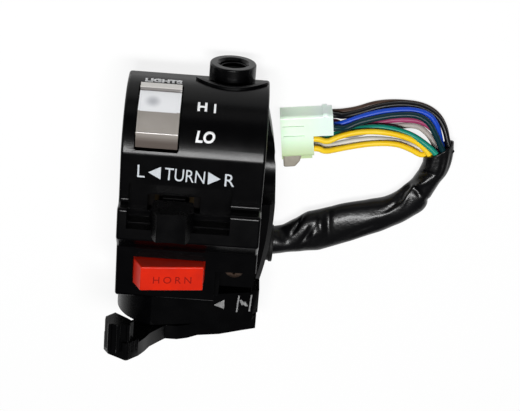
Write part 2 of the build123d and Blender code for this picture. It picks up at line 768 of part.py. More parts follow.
# Dimmer base: floor, two ears for the pin, and a lug screwed to the front shell
dimmer_base_half_width = rocker_skirt_width / 2 + slide_gap + dimmer_ear_thickness
with BuildPart() as dimmer_base:
    floor_bottom = dimmer_floor_depth + dimmer_floor_thickness
    with BuildSketch(dimmer_plane.offset(-floor_bottom)):
        Rectangle(dimmer_base_half_width * 2, dimmer_floor_half_height * 2)
    extrude(amount=dimmer_floor_thickness)
    for ear_start in (-dimmer_base_half_width, dimmer_base_half_width - dimmer_ear_thickness):
        with BuildSketch(dimmer_side.offset(ear_start)):
            with BuildLine():
                Polyline(
                    (-dimmer_ear_foot, -dimmer_floor_depth),
                    (dimmer_ear_foot, -dimmer_floor_depth),
                    (dimmer_ear_round, -rocker_pivot_depth),
                    (-dimmer_ear_round, -rocker_pivot_depth),
                    (-dimmer_ear_foot, -dimmer_floor_depth),
                )
            make_face()
            with Locations((0, -rocker_pivot_depth)):
                Circle(dimmer_ear_round)
        extrude(amount=dimmer_ear_thickness)
    with BuildSketch(dimmer_plane.offset(-floor_bottom)):
        with Locations((dimmer_lug_x / 2, dimmer_lug_y)):
            Rectangle(dimmer_lug_x, dimmer_lug_radius * 2)
        with Locations((dimmer_lug_x, dimmer_lug_y)):
            Circle(dimmer_lug_radius)
    extrude(amount=dimmer_floor_thickness)
    disc(dimmer_plane.offset(-floor_bottom), small_screw_radius + thread_gap, dimmer_floor_thickness,
         [(dimmer_lug_x, dimmer_lug_y)], Mode.SUBTRACT)
    disc(dimmer_side.offset(-rocker_width), rocker_pin_radius + seat_gap, rocker_width * 2,
         [(0, -rocker_pivot_depth)], Mode.SUBTRACT)
dimmer_base.part.label = "dimmer_base"
export_step(dimmer_base.part, "parts/dimmer_base.step")

with BuildPart() as dimmer_pin:
    disc(dimmer_side.offset(-dimmer_base_half_width), rocker_pin_radius, dimmer_base_half_width * 2,
         [(0, -rocker_pivot_depth)])
dimmer_pin.part.label = "dimmer_pin"
export_step(dimmer_pin.part, "parts/dimmer_pin.step")

with BuildPart() as dimmer_contacts:
    with BuildSketch(dimmer_plane.offset(-dimmer_floor_depth)):
        with GridLocations(0, dimmer_contact_pitch, 1, 3):
            Rectangle(dimmer_contact_width, dimmer_contact_length)
    extrude(amount=contact_thickness)
dimmer_contacts.part.label = "dimmer_contacts"
export_step(dimmer_contacts.part, "parts/dimmer_contacts.step")

# Turn signal carriage, behind the recess floor
carriage_top = recess_floor - recess_floor_thickness - slide_gap
stem_seat = Plane((turn_x, stem_y, carriage_bottom))
with BuildPart() as turn_carriage:
    with BuildSketch(stem_seat):
        Rectangle(carriage_width, carriage_height)
    extrude(amount=carriage_top - carriage_bottom)
    with BuildSketch(stem_seat):
        Rectangle(sleeve_width, sleeve_height)
    extrude(amount=sleeve_top - carriage_bottom)
    disc(stem_seat.offset(carriage_floor), stem_radius + seat_gap, sleeve_top, mode=Mode.SUBTRACT)
turn_carriage.part.label = "turn_carriage"
export_step(turn_carriage.part, "parts/turn_carriage.step")

with BuildPart() as turn_slider_contact:
    with BuildSketch(stem_seat.offset(-contact_thickness)):
        Rectangle(carriage_width / 2, carriage_height / 2)
    extrude(amount=contact_thickness)
turn_slider_contact.part.label = "turn_slider_contact"
export_step(turn_slider_contact.part, "parts/turn_slider_contact.step")

# Contact board under the carriage
board_top = turn_board_level + turn_board_thickness
with BuildPart() as turn_board:
    block(turn_board_left, turn_board_right, turn_board_low_y, turn_board_top_y, turn_board_level, board_top)
    disc(Plane.XY.offset(turn_board_level), small_screw_radius + thread_gap, turn_board_thickness,
         turn_boss_places, Mode.SUBTRACT)
turn_board.part.label = "turn_board"
export_step(turn_board.part, "parts/turn_board.step")

with BuildPart() as turn_contacts:
    with BuildSketch(Plane((turn_x, stem_y, board_top))):
        with GridLocations(turn_contact_pitch, 0, 3, 1):
            Rectangle(turn_contact_width, turn_contact_height)
    extrude(amount=contact_thickness)
turn_contacts.part.label = "turn_contacts"
export_step(turn_contacts.part, "parts/turn_contacts.step")

# Turn signal knob: flared thumb piece, overhanging the brow
with BuildPart() as turn_knob:
    with BuildSketch(Plane.XZ.offset(-knob_top_y)) as knob_face:
        with BuildLine():
            Polyline(
                (turn_x - knob_root_half_width, knob_root_level),
                (turn_x - knob_half_width, knob_shoulder_level),
                (turn_x - knob_face_half_width, knob_face_level),
                (turn_x + knob_face_half_width, knob_face_level),
                (turn_x + knob_half_width, knob_shoulder_level),
                (turn_x + knob_root_half_width, knob_root_level),
                (turn_x - knob_root_half_width, knob_root_level),
            )
        make_face()
        fillet(knob_face.vertices().group_by(Axis.Y)[1:], horn_edge_round)
    extrude(amount=knob_top_y - knob_low_y)
    with BuildSketch(Plane.XY.offset(knob_root_level)):
        with BuildLine():
            Polyline(
                (turn_x - knob_half_width, knob_top_y),
                (turn_x + knob_half_width, knob_top_y),
                (turn_x + knob_half_width, knob_low_y + knob_corner_cut),
                (turn_x + knob_half_width - knob_corner_cut, knob_low_y),
                (turn_x - knob_half_width + knob_corner_cut, knob_low_y),
                (turn_x - knob_half_width, knob_low_y + knob_corner_cut),
                (turn_x - knob_half_width, knob_top_y),
            )
        make_face()
    extrude(amount=knob_face_level - knob_root_level, mode=Mode.INTERSECT)
    block(turn_x - knob_half_width, turn_x + knob_half_width, knob_low_y, knob_waist_y,
          knob_root_level, knob_lip_level, mode=Mode.SUBTRACT)
    disc(Plane.XZ.offset(-knob_top_y - overrun), knob_dish_radius, overrun * 2 + knob_top_y - knob_low_y,
         [(turn_x, knob_face_level - knob_dish_depth + knob_dish_radius)], Mode.SUBTRACT)
    disc(Plane((turn_x, stem_y, knob_root_level)), stem_radius, knob_stem_bottom - knob_root_level)
turn_knob.part.label = "turn_knob"
export_step(turn_knob.part, "parts/turn_knob.step")

with BuildPart() as knob_spring:
    coil(stem_seat.offset(carriage_floor), knob_spring_radius, knob_spring_wire, knob_spring_pitch,
         knob_stem_bottom - carriage_bottom - carriage_floor)
knob_spring.part.label = "knob_spring"
export_step(knob_spring.part, "parts/knob_spring.step")

# Horn button: sloping face, guide flange and plunger
horn_y = (horn_top_y + horn_low_y) / 2
horn_seat = Plane((horn_x, horn_y, 0))
horn_flange_top = horn_face_level - horn_face_fall - wall - slide_gap
horn_flange_bottom = horn_flange_top - horn_flange_thickness
with BuildPart() as horn_button:
    with BuildSketch(Plane.XZ.offset(-horn_top_y)) as horn_face:
        with BuildLine():
            Polyline(
                (horn_left, horn_flange_bottom),
                (horn_left, horn_shoulder_level),
                (horn_left + horn_bevel_run, horn_left_level),
                (horn_right, horn_right_level),
                (horn_right, horn_flange_bottom),
                (horn_left, horn_flange_bottom),
            )
        make_face()
    extrude(amount=horn_top_y - horn_low_y)
    fillet(horn_button.edges().filter_by(lambda edge: edge.center().Z > horn_flange_top + wall),
           horn_edge_round)
    block(horn_left - horn_flange_pride, horn_right + horn_flange_pride,
          horn_low_y - horn_flange_pride, horn_top_y + horn_flange_pride,
          horn_flange_bottom, horn_flange_top)
    disc(horn_seat.offset(horn_flange_bottom), horn_plunger_radius,
         horn_plunger_bottom - horn_flange_bottom)
horn_button.part.label = "horn_button"
export_step(horn_button.part, "parts/horn_button.step")

with BuildPart() as horn_moving_contact:
    disc(horn_seat.offset(horn_plunger_bottom), horn_disc_radius, -horn_disc_thickness)
horn_moving_contact.part.label = "horn_moving_contact"
export_step(horn_moving_contact.part, "parts/horn_moving_contact.step")

# Horn base: an open tray with two screwed ears
horn_floor_top = horn_tray_floor + horn_tray_floor_thickness
with BuildPart() as horn_base:
    tray_reach = slide_gap + horn_tray_wall
    block(horn_left - tray_reach, horn_right + tray_reach, horn_low_y - tray_reach, horn_top_y + tray_reach,
          horn_tray_floor, horn_ear_level + horn_ear_thickness)
    block(horn_left - slide_gap, horn_right + slide_gap, horn_low_y - slide_gap, horn_top_y + slide_gap,
          horn_floor_top, brow_level, mode=Mode.SUBTRACT)
    tray_edge_y = horn_top_y + slide_gap
    for place in horn_boss_places:
        block(place[0] - horn_ear_radius, place[0] + horn_ear_radius, tray_edge_y, place[1],
              horn_ear_level, horn_ear_level + horn_ear_thickness)
    disc(Plane.XY.offset(horn_ear_level), horn_ear_radius, horn_ear_thickness, horn_boss_places)
    disc(Plane.XY.offset(horn_ear_level), small_screw_radius + thread_gap, horn_ear_thickness,
         horn_boss_places, Mode.SUBTRACT)
horn_base.part.label = "horn_base"
export_step(horn_base.part, "parts/horn_base.step")

with BuildPart() as horn_fixed_contact:
    disc(horn_seat.offset(horn_floor_top), horn_pad_radius, horn_pad_thickness)
horn_fixed_contact.part.label = "horn_fixed_contact"
export_step(horn_fixed_contact.part, "parts/horn_fixed_contact.step")

with BuildPart() as horn_spring:
    coil(horn_seat.offset(horn_floor_top), horn_spring_radius, horn_spring_wire, horn_spring_pitch,
         horn_flange_bottom - horn_floor_top)
horn_spring.part.label = "horn_spring"
export_step(horn_spring.part, "parts/horn_spring.step")

# Small screws of the three switch modules
with BuildPart() as module_screws:
    for place in turn_boss_places:
        slotted_screw(Plane((place[0], place[1], turn_board_level), z_dir=(0, 0, -1)), small_screw_radius,
                      small_head_radius, small_head_height, small_screw_length)
    for place in horn_boss_places:
        slotted_screw(Plane((place[0], place[1], horn_ear_level), z_dir=(0, 0, -1)), small_screw_radius,
                      small_head_radius, small_head_height, small_screw_length)
    lug_point = dimmer_plane.offset(-floor_bottom).from_local_coords((dimmer_lug_x, dimmer_lug_y, 0))
    slotted_screw(Plane(lug_point, z_dir=-dimmer_plane.z_dir), small_screw_radius,
                  small_head_radius, small_head_height, small_screw_length)
module_screws.part.label = "module_screws"
export_step(module_screws.part, "parts/module_screws.step")

# Rubber grommet that holds the sleeve in the outlet
with BuildPart() as harness_grommet:
    disc(outlet_seat, grommet_radius, grommet_length)
    disc(outlet_seat.offset(grommet_length), grommet_lip_radius, -grommet_lip_width)
    disc(outlet_seat, sleeve_radius + seat_gap, grommet_length, mode=Mode.SUBTRACT)
harness_grommet.part.label = "harness_grommet"
export_step(harness_grommet.part, "parts/harness_grommet.step")

# Choke housing, bolted to the tail of the rear shell
with BuildPart() as choke_housing:
    with BuildSketch(Plane.XZ.offset(-choke_top_y)) as choke_face:
        with BuildLine():
            choke_side = ThreePointArc(
                (choke_left, lever_z),
                (choke_left_bulge_x, choke_left_bulge_z),
                (choke_shoulder_x, choke_shoulder_z),
            )
            Polyline(
                choke_side @ 1,
                (choke_label_x, choke_label_z),
                (half_width, choke_right_z),
                (choke_right, choke_right_z - wall),
                (choke_right, choke_back_level),
                (choke_left, choke_back_level),
                choke_side @ 0,
            )
        make_face()
        rounded = nearest(
            choke_face.vertices(), [(choke_right, choke_back_level), (choke_left, choke_back_level)]
        )
        fillet(rounded, choke_corner_round)
    extrude(amount=choke_top_y - choke_low_y)
    block(-housing_width, housing_width, choke_notch_y, choke_top_y, choke_back_level - overrun, seat_gap,
          mode=Mode.SUBTRACT)
    block(pocket_left, housing_width, label_top_y, choke_top_y, seat_gap, choke_shoulder_z,
          mode=Mode.SUBTRACT)
    block(choke_right - choke_groove_depth, housing_width,
          choke_groove_y - choke_groove_width, choke_groove_y,
          choke_back_level - overrun, choke_shoulder_z, mode=Mode.SUBTRACT)
    with BuildSketch(Plane.XY.offset(choke_back_level)):
        with BuildLine():
            Polyline(
                (choke_right - choke_foot_bevel, choke_low_y),
                (choke_right, choke_low_y + choke_foot_bevel),
                (choke_right, choke_low_y),
                (choke_right - choke_foot_bevel, choke_low_y),
            )
        make_face()
    extrude(amount=choke_shoulder_z - choke_back_level, mode=Mode.SUBTRACT)
    disc(pivot_seat, pivot_radius + thread_gap, -pivot_depth - lever_thickness, mode=Mode.SUBTRACT)
    disc(Plane.XY, housing_screw_radius + thread_gap, choke_screw_length + choke_screw_seat + slide_gap,
         choke_screw_places, Mode.SUBTRACT)
choke_housing.part.label = "choke_housing"
export_step(choke_housing.part, "parts/choke_housing.step")

with BuildPart() as choke_screws:
    for place in choke_screw_places:
        slotted_screw(Plane((place[0], place[1], choke_screw_seat), z_dir=(0, 0, -1)), housing_screw_radius,
                      housing_head_radius, housing_head_height, choke_screw_length)
choke_screws.part.label = "choke_screws"
export_step(choke_screws.part, "parts/choke_screws.step")

# Choke lever: thumb lever cut from plate, its outlines as shares of the reach from the pivot
lever_front = [
    (0.386, 0.012), (0.386, 0.190), (0.298, 0.229), (0.098, 0.324), (-0.074, 0.364), (-0.152, 0.419),
    (-0.231, 0.450), (-0.324, 0.450), (-0.362, 0.495), (-0.436, 0.588), (-0.469, 0.664), (-0.512, 0.738),
]
lever_tab = [(-0.598, 0.826), (-0.743, 0.738), (-0.783, 0.671)]
lever_back = [
    (-0.774, 0.571), (-0.667, 0.488), (-0.476, 0.286), (-0.298, 0.095), (-0.1, -0.1), (0.31, -0.024),
]
lever_pad = [(-0.512, 0.738), (-0.598, 0.826), (-0.743, 0.738), (-0.783, 0.671), (-0.774, 0.571)]
lever_post_ribbed = [(-0.731, 0.781), (-0.664, 0.805), (-0.593, 0.779)]
lever_post = [(-0.557, 0.733), (-0.612, 0.683), (-0.708, 0.612), (-0.774, 0.683), (-0.774, 0.733)]


def lever_points(shares):
    """Places on the lever's plate, from shares of its reach."""
    return [(lever_x + share[0] * lever_reach, lever_z + share[1] * lever_reach) for share in shares]


with BuildPart() as choke_lever:
    with BuildSketch(Plane.XZ.offset(-lever_top_y)) as lever_face:
        with BuildLine():
            Polyline(*lever_points(lever_front + lever_tab + lever_back), close=True)
        make_face()
        fillet(nearest(lever_face.vertices(), lever_points(lever_tab)), side_round)
        with Locations((lever_x, lever_z)):
            Circle(lever_hub_radius)
        with Locations(*lever_points([nipple_share])):
            Circle(nipple_radius, mode=Mode.SUBTRACT)
    extrude(amount=lever_thickness)
    with BuildSketch(Plane.XZ.offset(-lever_top_y - tab_rise)) as pad_face:
        with BuildLine():
            Polyline(*lever_points(lever_pad), close=True)
        make_face()
        fillet(nearest(pad_face.vertices(), lever_points(lever_tab)), side_round)
    extrude(amount=tab_rise + lever_thickness / 2)
    with BuildSketch(Plane.XZ.offset(-lever_top_y - post_rise)) as post_face:
        with BuildLine():
            Polyline(*lever_points(lever_post_ribbed + lever_post), close=True)
        make_face()
    extrude(amount=post_rise + lever_thickness / 2)
    disc(Plane.XZ.offset(-lever_top_y - post_rise), post_rib_radius, post_rise + lever_thickness / 2,
         lever_points(lever_post_ribbed))
    groove_start, groove_end = lever_points([lever_front[-1], lever_tab[0]])
    groove_places = []
    for number in range(tab_grooves):
        share = (number + share_half) / tab_grooves
        groove_places.append((
            groove_start[0] + (groove_end[0] - groove_start[0]) * share,
            groove_start[1] + (groove_end[1] - groove_start[1]) * share,
        ))
    disc(Plane.XZ.offset(-lever_top_y - tab_rise), tab_groove_radius,
         tab_rise + lever_thickness * share_half, groove_places, Mode.SUBTRACT)
    disc(pivot_seat, pivot_radius + pin_gap, -lever_thickness, mode=Mode.SUBTRACT)
    disc(pivot_seat, pivot_head_radius + slide_gap, -pivot_head_height, mode=Mode.SUBTRACT)
choke_lever.part.label = "choke_lever"
export_step(choke_lever.part, "parts/choke_lever.step")

with BuildPart() as choke_pivot_screw:
    slotted_screw(pivot_seat.offset(-pivot_head_height), pivot_radius, pivot_head_radius, pivot_head_height,
                  pivot_depth + lever_thickness - pivot_head_height)
choke_pivot_screw.part.label = "choke_pivot_screw"
export_step(choke_pivot_screw.part, "parts/choke_pivot_screw.step")

with BuildPart() as choke_washer:
    disc(pivot_seat.offset(-lever_thickness - seat_gap), washer_radius, -washer_thickness)
    disc(pivot_seat.offset(-lever_thickness), pivot_radius + thread_gap, -washer_thickness * 2,
         mode=Mode.SUBTRACT)
choke_washer.part.label = "choke_washer"
export_step(choke_washer.part, "parts/choke_washer.step")

# Harness sleeve, with its mouth cut aslant
with BuildPart() as harness_sleeve:
    cord(sleeve_route, sleeve_radius)
    disc(Plane(origin=mouth_place, z_dir=mouth_normal), sleeve_radius * 2, sleeve_radius * 2,
         mode=Mode.SUBTRACT)
harness_sleeve.part.label = "harness_sleeve"
export_step(harness_sleeve.part, "parts/harness_sleeve.step")

# Plug: open cells at the mating end, a latch on one side, wires in at the far end
plug_plane = Plane(
    origin=(plug_x, plug_y, plug_middle),
    x_dir=(math.cos(math.radians(plug_turn)), math.sin(math.radians(plug_turn)), 0),
    z_dir=(0, 0, 1),
)
plug_mating = Plane(origin=plug_plane.origin, x_dir=plug_plane.y_dir, z_dir=plug_plane.x_dir)
plug_cells = {}
for number, column in enumerate(plug_columns):
    for level, row in enumerate(plug_rows):
        plug_cells[column + row] = (
            (number - (len(plug_columns) - 1) / 2) * plug_column_pitch,
            (level - (len(plug_rows) - 1) / 2) * plug_row_pitch,
        )
with BuildPart() as connector_housing:
    with BuildSketch(plug_mating):
        RectangleRounded(plug_width, plug_height, plug_corner)
    extrude(amount=plug_length)
    with BuildSketch(plug_mating.offset(plug_length - plug_flange_length)):
        RectangleRounded(plug_width + plug_flange * 2, plug_height, plug_corner)
    extrude(amount=plug_flange_length / 2)
    with BuildSketch(plug_mating):
        with Locations((-(plug_width + latch_height) / 2, 0)):
            Rectangle(latch_height, latch_width)
    extrude(amount=latch_length)
    with BuildSketch(plug_mating.offset(plug_step_length)):
        with Locations((plug_step_y - plug_width / 2, 0)):
            Rectangle(plug_width, plug_height * 2)
    extrude(amount=plug_length, mode=Mode.SUBTRACT)
    with BuildSketch(plug_mating):
        with Locations(*plug_cells.values()):
            Rectangle(plug_cavity, plug_cavity)
    extrude(amount=plug_cavity_depth, mode=Mode.SUBTRACT)
connector_housing.part.label = "connector_housing"
export_step(connector_housing.part, "parts/connector_housing.step")

with BuildPart() as connector_terminals:
    with BuildSketch(plug_mating.offset(plug_cavity_depth)):
        with Locations(*[plug_cells[route[0]] for route in wire_routes.values()]):
            Rectangle(terminal_width, terminal_thickness)
    extrude(amount=-terminal_length)
connector_terminals.part.label = "connector_terminals"
export_step(connector_terminals.part, "parts/connector_terminals.step")

# Wires, from the plug's far end to the sleeve's mouth
mouth_plane = Plane(origin=mouth_place, x_dir=(-mouth_normal[1], mouth_normal[0], 0), z_dir=mouth_normal)
for colour, (cell, corners, lead_in, slot) in wire_routes.items():
    cell_y, cell_z = plug_cells[cell]
    cell_end = plug_step_length if cell_y < plug_step_y else plug_length
    route = [
        plug_plane.from_local_coords((cell_end, cell_y, cell_z)),
        plug_plane.from_local_coords((plug_length + wire_stub, cell_y, cell_z)),
        *corners,
        mouth_plane.from_local_coords((-slot[0], slot[1], lead_in)),
        mouth_plane.from_local_coords((-slot[0], slot[1], 0)),
    ]
    with BuildPart() as wire:
        cord(route, wire_radius)
    wire.part.label = "wire_" + colour
    export_step(wire.part, "parts/wire_" + colour + ".step")
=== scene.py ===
"""Looks of a handlebar switch cluster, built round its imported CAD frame.

Everything is in metres, in the frame of the CAD: X along the handlebar, Y up the switch
towards the mirror boss, Z towards the rider. The cluster lies on its back, on a pale floor.
"""

from __future__ import annotations

import json
import logging
from dataclasses import dataclass, field
from enum import Enum
from functools import cache
from math import asin, cos, exp, pi, radians, sin

import bmesh
import bpy
from bmesh.types import BMesh
from bpy.types import ID, Material, Mesh, Node, NodeTree, Object
from mathutils import Matrix, Vector
from mathutils.bvhtree import BVHTree

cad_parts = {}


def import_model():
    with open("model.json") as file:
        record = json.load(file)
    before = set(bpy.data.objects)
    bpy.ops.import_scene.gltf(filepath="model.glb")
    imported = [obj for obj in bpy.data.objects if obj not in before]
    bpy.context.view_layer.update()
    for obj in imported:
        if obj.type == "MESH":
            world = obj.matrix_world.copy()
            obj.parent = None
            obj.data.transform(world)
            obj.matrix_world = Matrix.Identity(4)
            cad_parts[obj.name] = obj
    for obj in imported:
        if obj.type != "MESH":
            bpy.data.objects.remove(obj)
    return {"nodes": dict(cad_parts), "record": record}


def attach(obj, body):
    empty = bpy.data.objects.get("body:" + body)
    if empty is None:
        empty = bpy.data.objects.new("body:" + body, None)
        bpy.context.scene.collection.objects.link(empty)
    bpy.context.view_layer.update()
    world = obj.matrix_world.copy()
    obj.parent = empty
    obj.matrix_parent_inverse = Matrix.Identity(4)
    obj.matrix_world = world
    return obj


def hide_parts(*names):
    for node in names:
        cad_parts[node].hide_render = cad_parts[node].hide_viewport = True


LOG = logging.getLogger("switch_cluster")
MM = 0.001
FLOOR = -17.0 * MM
UP = Vector((0, 0, 1))

Point = tuple[float, float, float]
Colour = tuple[float, float, float]
Outline = list[tuple[float, float]]

# Points closer than this are one, faces that turn less are one flat face, edges that turn more
# are rounded, and large faces count this much for the normals beside them
SAME_POINT = 0.002 * MM
FLAT_TURN = radians(0.6)
SHARP_TURN = radians(32)
FACE_WEIGHT = 60

# Where a mottle passes from one colour to the other, and how much finer and lower the second
# grain is than the first
MOTTLE_LOW, MOTTLE_HIGH = 0.3, 0.7
FINE_SCALE = 3.1
FINE_HEIGHT = 0.4

COAT_ROUGHNESS = 0.12
SUBSURFACE_RADIUS = (2 * MM, 3 * MM, 2 * MM)

# Places of the Mix node's sockets, whose names repeat
NUMBER_A, NUMBER_B, NUMBER_RESULT = 2, 3, 0
COLOUR_A, COLOUR_B, COLOUR_RESULT = 6, 7, 2


def millimetres(*values: float) -> Vector:
    """Turn sizes written in millimetres into a vector in metres."""
    return Vector(value * MM for value in values)


# Node trees


class Kind(Enum):
    """Kinds of socket on the node groups."""

    FLOAT = "Float"
    INT = "Int"
    VECTOR = "Vector"
    COLOUR = "Color"
    MATERIAL = "Material"
    GEOMETRY = "Geometry"


class Side(Enum):
    """The two sides of a node group, with the node that carries each side's sockets."""

    INPUT = "NodeGroupInput"
    OUTPUT = "NodeGroupOutput"


@dataclass
class Graph:
    """A node tree that is being built."""

    tree: NodeTree

    def declare(self, side: Side, sockets: dict[Kind, list[str]]) -> Node:
        """Name the sockets of one side and add the node that carries them."""
        for kind, names in sockets.items():
            for name in names:
                self.tree.interface.new_socket(
                    name, in_out=side.name, socket_type="NodeSocket" + kind.value
                )
        return self.tree.nodes.new(side.value)

    def add(
        self, kind: str, values: dict[str | int, object] | None = None, **settings: object
    ) -> Node:
        """Add a node.

        Args:
            kind: Blender's name of the node's type.
            values: Values for its inputs, by name or place.
            settings: Its other settings.

        Returns:
            The node.
        """
        node = self.tree.nodes.new(kind)
        for name, value in settings.items():
            setattr(node, name, value)
        fill(node, values or {})
        return node

    def join(self, *links: tuple[Node, str | int, Node, str | int]) -> None:
        """Link nodes. Each link is a node, its output, the next node and its input."""
        for source, output, target, entry in links:
            self.tree.links.new(source.outputs[output], target.inputs[entry])


def fill(node: Node, values: dict[str | int, object]) -> None:
    """Set a node's inputs, by name or place."""
    for key, value in values.items():
        node.inputs[key].default_value = value


# Shading


class Measure(Enum):
    """What a layer's mask goes by: the place along a direction, or the distance from a point."""

    ALONG = "DOT_PRODUCT"
    AWAY = "DISTANCE"


@dataclass(frozen=True)
class Layer:
    """A second look that a material takes on in one part of its piece, often painted highlight or
    shade.

    The mask goes from nothing at low to full at high. Lengths are in millimetres.
    """

    colour: Colour
    aim: Point
    low: float
    high: float
    roughness: float | None = None
    measure: Measure = Measure.ALONG


@dataclass(frozen=True)
class Finish:
    """How one material looks.

    Sizes are in millimetres. The specular level, coat and subsurface share are the same all
    over a surface, so they are set on the shader itself.
    """

    name: str
    colour: Colour
    second: Colour
    roughness: float
    spread: float = 0.06
    grain_size: float = 0.35
    grain_depth: float = 0.1
    mottle_size: float = 6.0
    metallic: float = 0.0
    specular: float = 0.5
    coat: float = 0.0
    subsurface: float = 0.0
    layers: tuple[Layer, ...] = ()

    def build(self) -> Material:
        """Build the material from the shared groups, on the piece's own coordinates.

        Returns:
            The finished material.
        """
        material = bpy.data.materials.new(self.name)
        material.use_nodes = True
        graph = Graph(material.node_tree)
        shader = graph.tree.nodes["Principled BSDF"]
        fill(shader, {
            "Metallic": self.metallic,
            "Specular IOR Level": self.specular,
            "Coat Weight": self.coat,
            "Coat Roughness": COAT_ROUGHNESS,
            "Subsurface Weight": self.subsurface,
            "Subsurface Radius": SUBSURFACE_RADIUS,
        })
        place = graph.add("ShaderNodeTexCoord")
        look = graph.add("ShaderNodeGroup", {
            "Colour": (*self.colour, 1),
            "Second Colour": (*self.second, 1),
            "Roughness": self.roughness,
            "Spread": self.spread,
            "Grain Scale": 1 / (self.grain_size * MM),
            "Mottle Scale": 1 / (self.mottle_size * MM),
        }, node_tree=surface_group())
        bump = graph.add("ShaderNodeBump", {"Strength": 1.0, "Distance": self.grain_depth * MM})
        coloured = roughened = look
        for part in self.layers:
            along = part.measure is Measure.ALONG
            layer = graph.add("ShaderNodeGroup", {
                "Layer Colour": (*part.colour, 1),
                "Layer Roughness": part.roughness or self.roughness,
                "Aim": Vector(part.aim) if along else millimetres(*part.aim),
                "Low": part.low * MM,
                "High": part.high * MM,
            }, node_tree=layer_group(part.measure))
            graph.join(
                (place, "Object", layer, "Vector"), (coloured, "Colour", layer, "Colour"),
                (roughened, "Roughness", layer, "Roughness"),
            )
            coloured = layer
            if along:
                roughened = layer
        graph.join(
            (place, "Object", look, "Vector"), (coloured, "Colour", shader, "Base Color"),
            (roughened, "Roughness", shader, "Roughness"), (look, "Height", bump, "Height"),
            (bump, "Normal", shader, "Normal"),
        )
        return material


@cache
def surface_group() -> NodeTree:
    """Build the group that gives a moulded or painted surface its small unevenness.

    Returns:
        The shader node group, with outputs Colour, Roughness and Height.
    """
    graph = Graph(bpy.data.node_groups.new("surface_character", "ShaderNodeTree"))
    entry = graph.declare(Side.INPUT, {
        Kind.VECTOR: ["Vector"],
        Kind.COLOUR: ["Colour", "Second Colour"],
        Kind.FLOAT: ["Roughness", "Spread", "Grain Scale", "Mottle Scale"],
    })
    results = {Kind.COLOUR: ["Colour"], Kind.FLOAT: ["Roughness", "Height"]}
    leave = graph.declare(Side.OUTPUT, results)
    mottle = graph.add("ShaderNodeTexNoise", {"Detail": 3})
    grain = graph.add("ShaderNodeTexNoise", {"Detail": 2})
    fine = graph.add("ShaderNodeTexNoise")
    finer = graph.add("ShaderNodeMath", {1: FINE_SCALE}, operation="MULTIPLY")
    steep = graph.add("ShaderNodeMapRange", {"From Min": MOTTLE_LOW, "From Max": MOTTLE_HIGH})
    blend = graph.add("ShaderNodeMix", data_type="RGBA")
    shift = graph.add("ShaderNodeMath", {1: 0.5}, operation="SUBTRACT")
    rough = graph.add("ShaderNodeMath", operation="MULTIPLY_ADD")
    height = graph.add("ShaderNodeMath", {1: FINE_HEIGHT}, operation="MULTIPLY_ADD")
    graph.join(
        (entry, "Vector", mottle, "Vector"), (entry, "Vector", grain, "Vector"),
        (entry, "Vector", fine, "Vector"), (entry, "Mottle Scale", mottle, "Scale"),
        (entry, "Grain Scale", grain, "Scale"), (entry, "Grain Scale", finer, 0),
        (finer, 0, fine, "Scale"), (mottle, 0, steep, "Value"), (steep, 0, blend, "Factor"),
        (entry, "Colour", blend, COLOUR_A), (entry, "Second Colour", blend, COLOUR_B),
        (mottle, 0, shift, 0), (shift, 0, rough, 0), (entry, "Spread", rough, 1),
        (entry, "Roughness", rough, 2), (fine, 0, height, 0), (grain, 0, height, 2),
        (blend, COLOUR_RESULT, leave, "Colour"), (rough, 0, leave, "Roughness"),
        (height, 0, leave, "Height"),
    )
    return graph.tree


@cache
def layer_group(measure: Measure) -> NodeTree:
    """Build the group that blends a second look in where its mask says.

    Args:
        measure: What the mask goes by.

    Returns:
        The shader node group, with outputs Colour and Roughness.
    """
    graph = Graph(bpy.data.node_groups.new("layer_" + measure.name.lower(), "ShaderNodeTree"))
    entry = graph.declare(Side.INPUT, {
        Kind.VECTOR: ["Vector", "Aim"],
        Kind.COLOUR: ["Colour", "Layer Colour"],
        Kind.FLOAT: ["Roughness", "Layer Roughness", "Low", "High"],
    })
    leave = graph.declare(Side.OUTPUT, {Kind.COLOUR: ["Colour"], Kind.FLOAT: ["Roughness"]})
    reading = graph.add("ShaderNodeVectorMath", operation=measure.value)
    mask = graph.add("ShaderNodeMapRange", interpolation_type="SMOOTHSTEP")
    tint = graph.add("ShaderNodeMix", data_type="RGBA")
    polish = graph.add("ShaderNodeMix", data_type="FLOAT")
    graph.join(
        (entry, "Vector", reading, 0), (entry, "Aim", reading, 1),
        (reading, "Value", mask, "Value"), (entry, "Low", mask, "From Min"),
        (entry, "High", mask, "From Max"), (mask, 0, tint, "Factor"), (mask, 0, polish, "Factor"),
        (entry, "Colour", tint, COLOUR_A), (entry, "Layer Colour", tint, COLOUR_B),
        (entry, "Roughness", polish, NUMBER_A), (entry, "Layer Roughness", polish, NUMBER_B),
        (tint, COLOUR_RESULT, leave, "Colour"), (polish, NUMBER_RESULT, leave, "Roughness"),
    )
    return graph.tree


WIRE_COLOURS = (
    ("black", (0.002, 0.002, 0.003), (0.005, 0.005, 0.006)),
    ("brown", (0.040, 0.020, 0.014), (0.075, 0.045, 0.032)),
    ("blue", (0.008, 0.052, 0.47), (0.010, 0.065, 0.42)),
    ("teal", (0.001, 0.018, 0.026), (0.002, 0.028, 0.034)),
    ("pink", (0.24, 0.025, 0.085), (0.34, 0.05, 0.14)),
    ("grey", (0.33, 0.30, 0.28), (0.42, 0.39, 0.36)),
    ("green", (0.008, 0.22, 0.155), (0.012, 0.28, 0.19)),
    ("yellow", (0.86, 0.54, 0.008), (0.88, 0.64, 0.04)),
    ("white", (0.56, 0.55, 0.50), (0.64, 0.62, 0.58)),
    ("yellow_lower", (0.86, 0.54, 0.008), (0.88, 0.64, 0.04)),
)

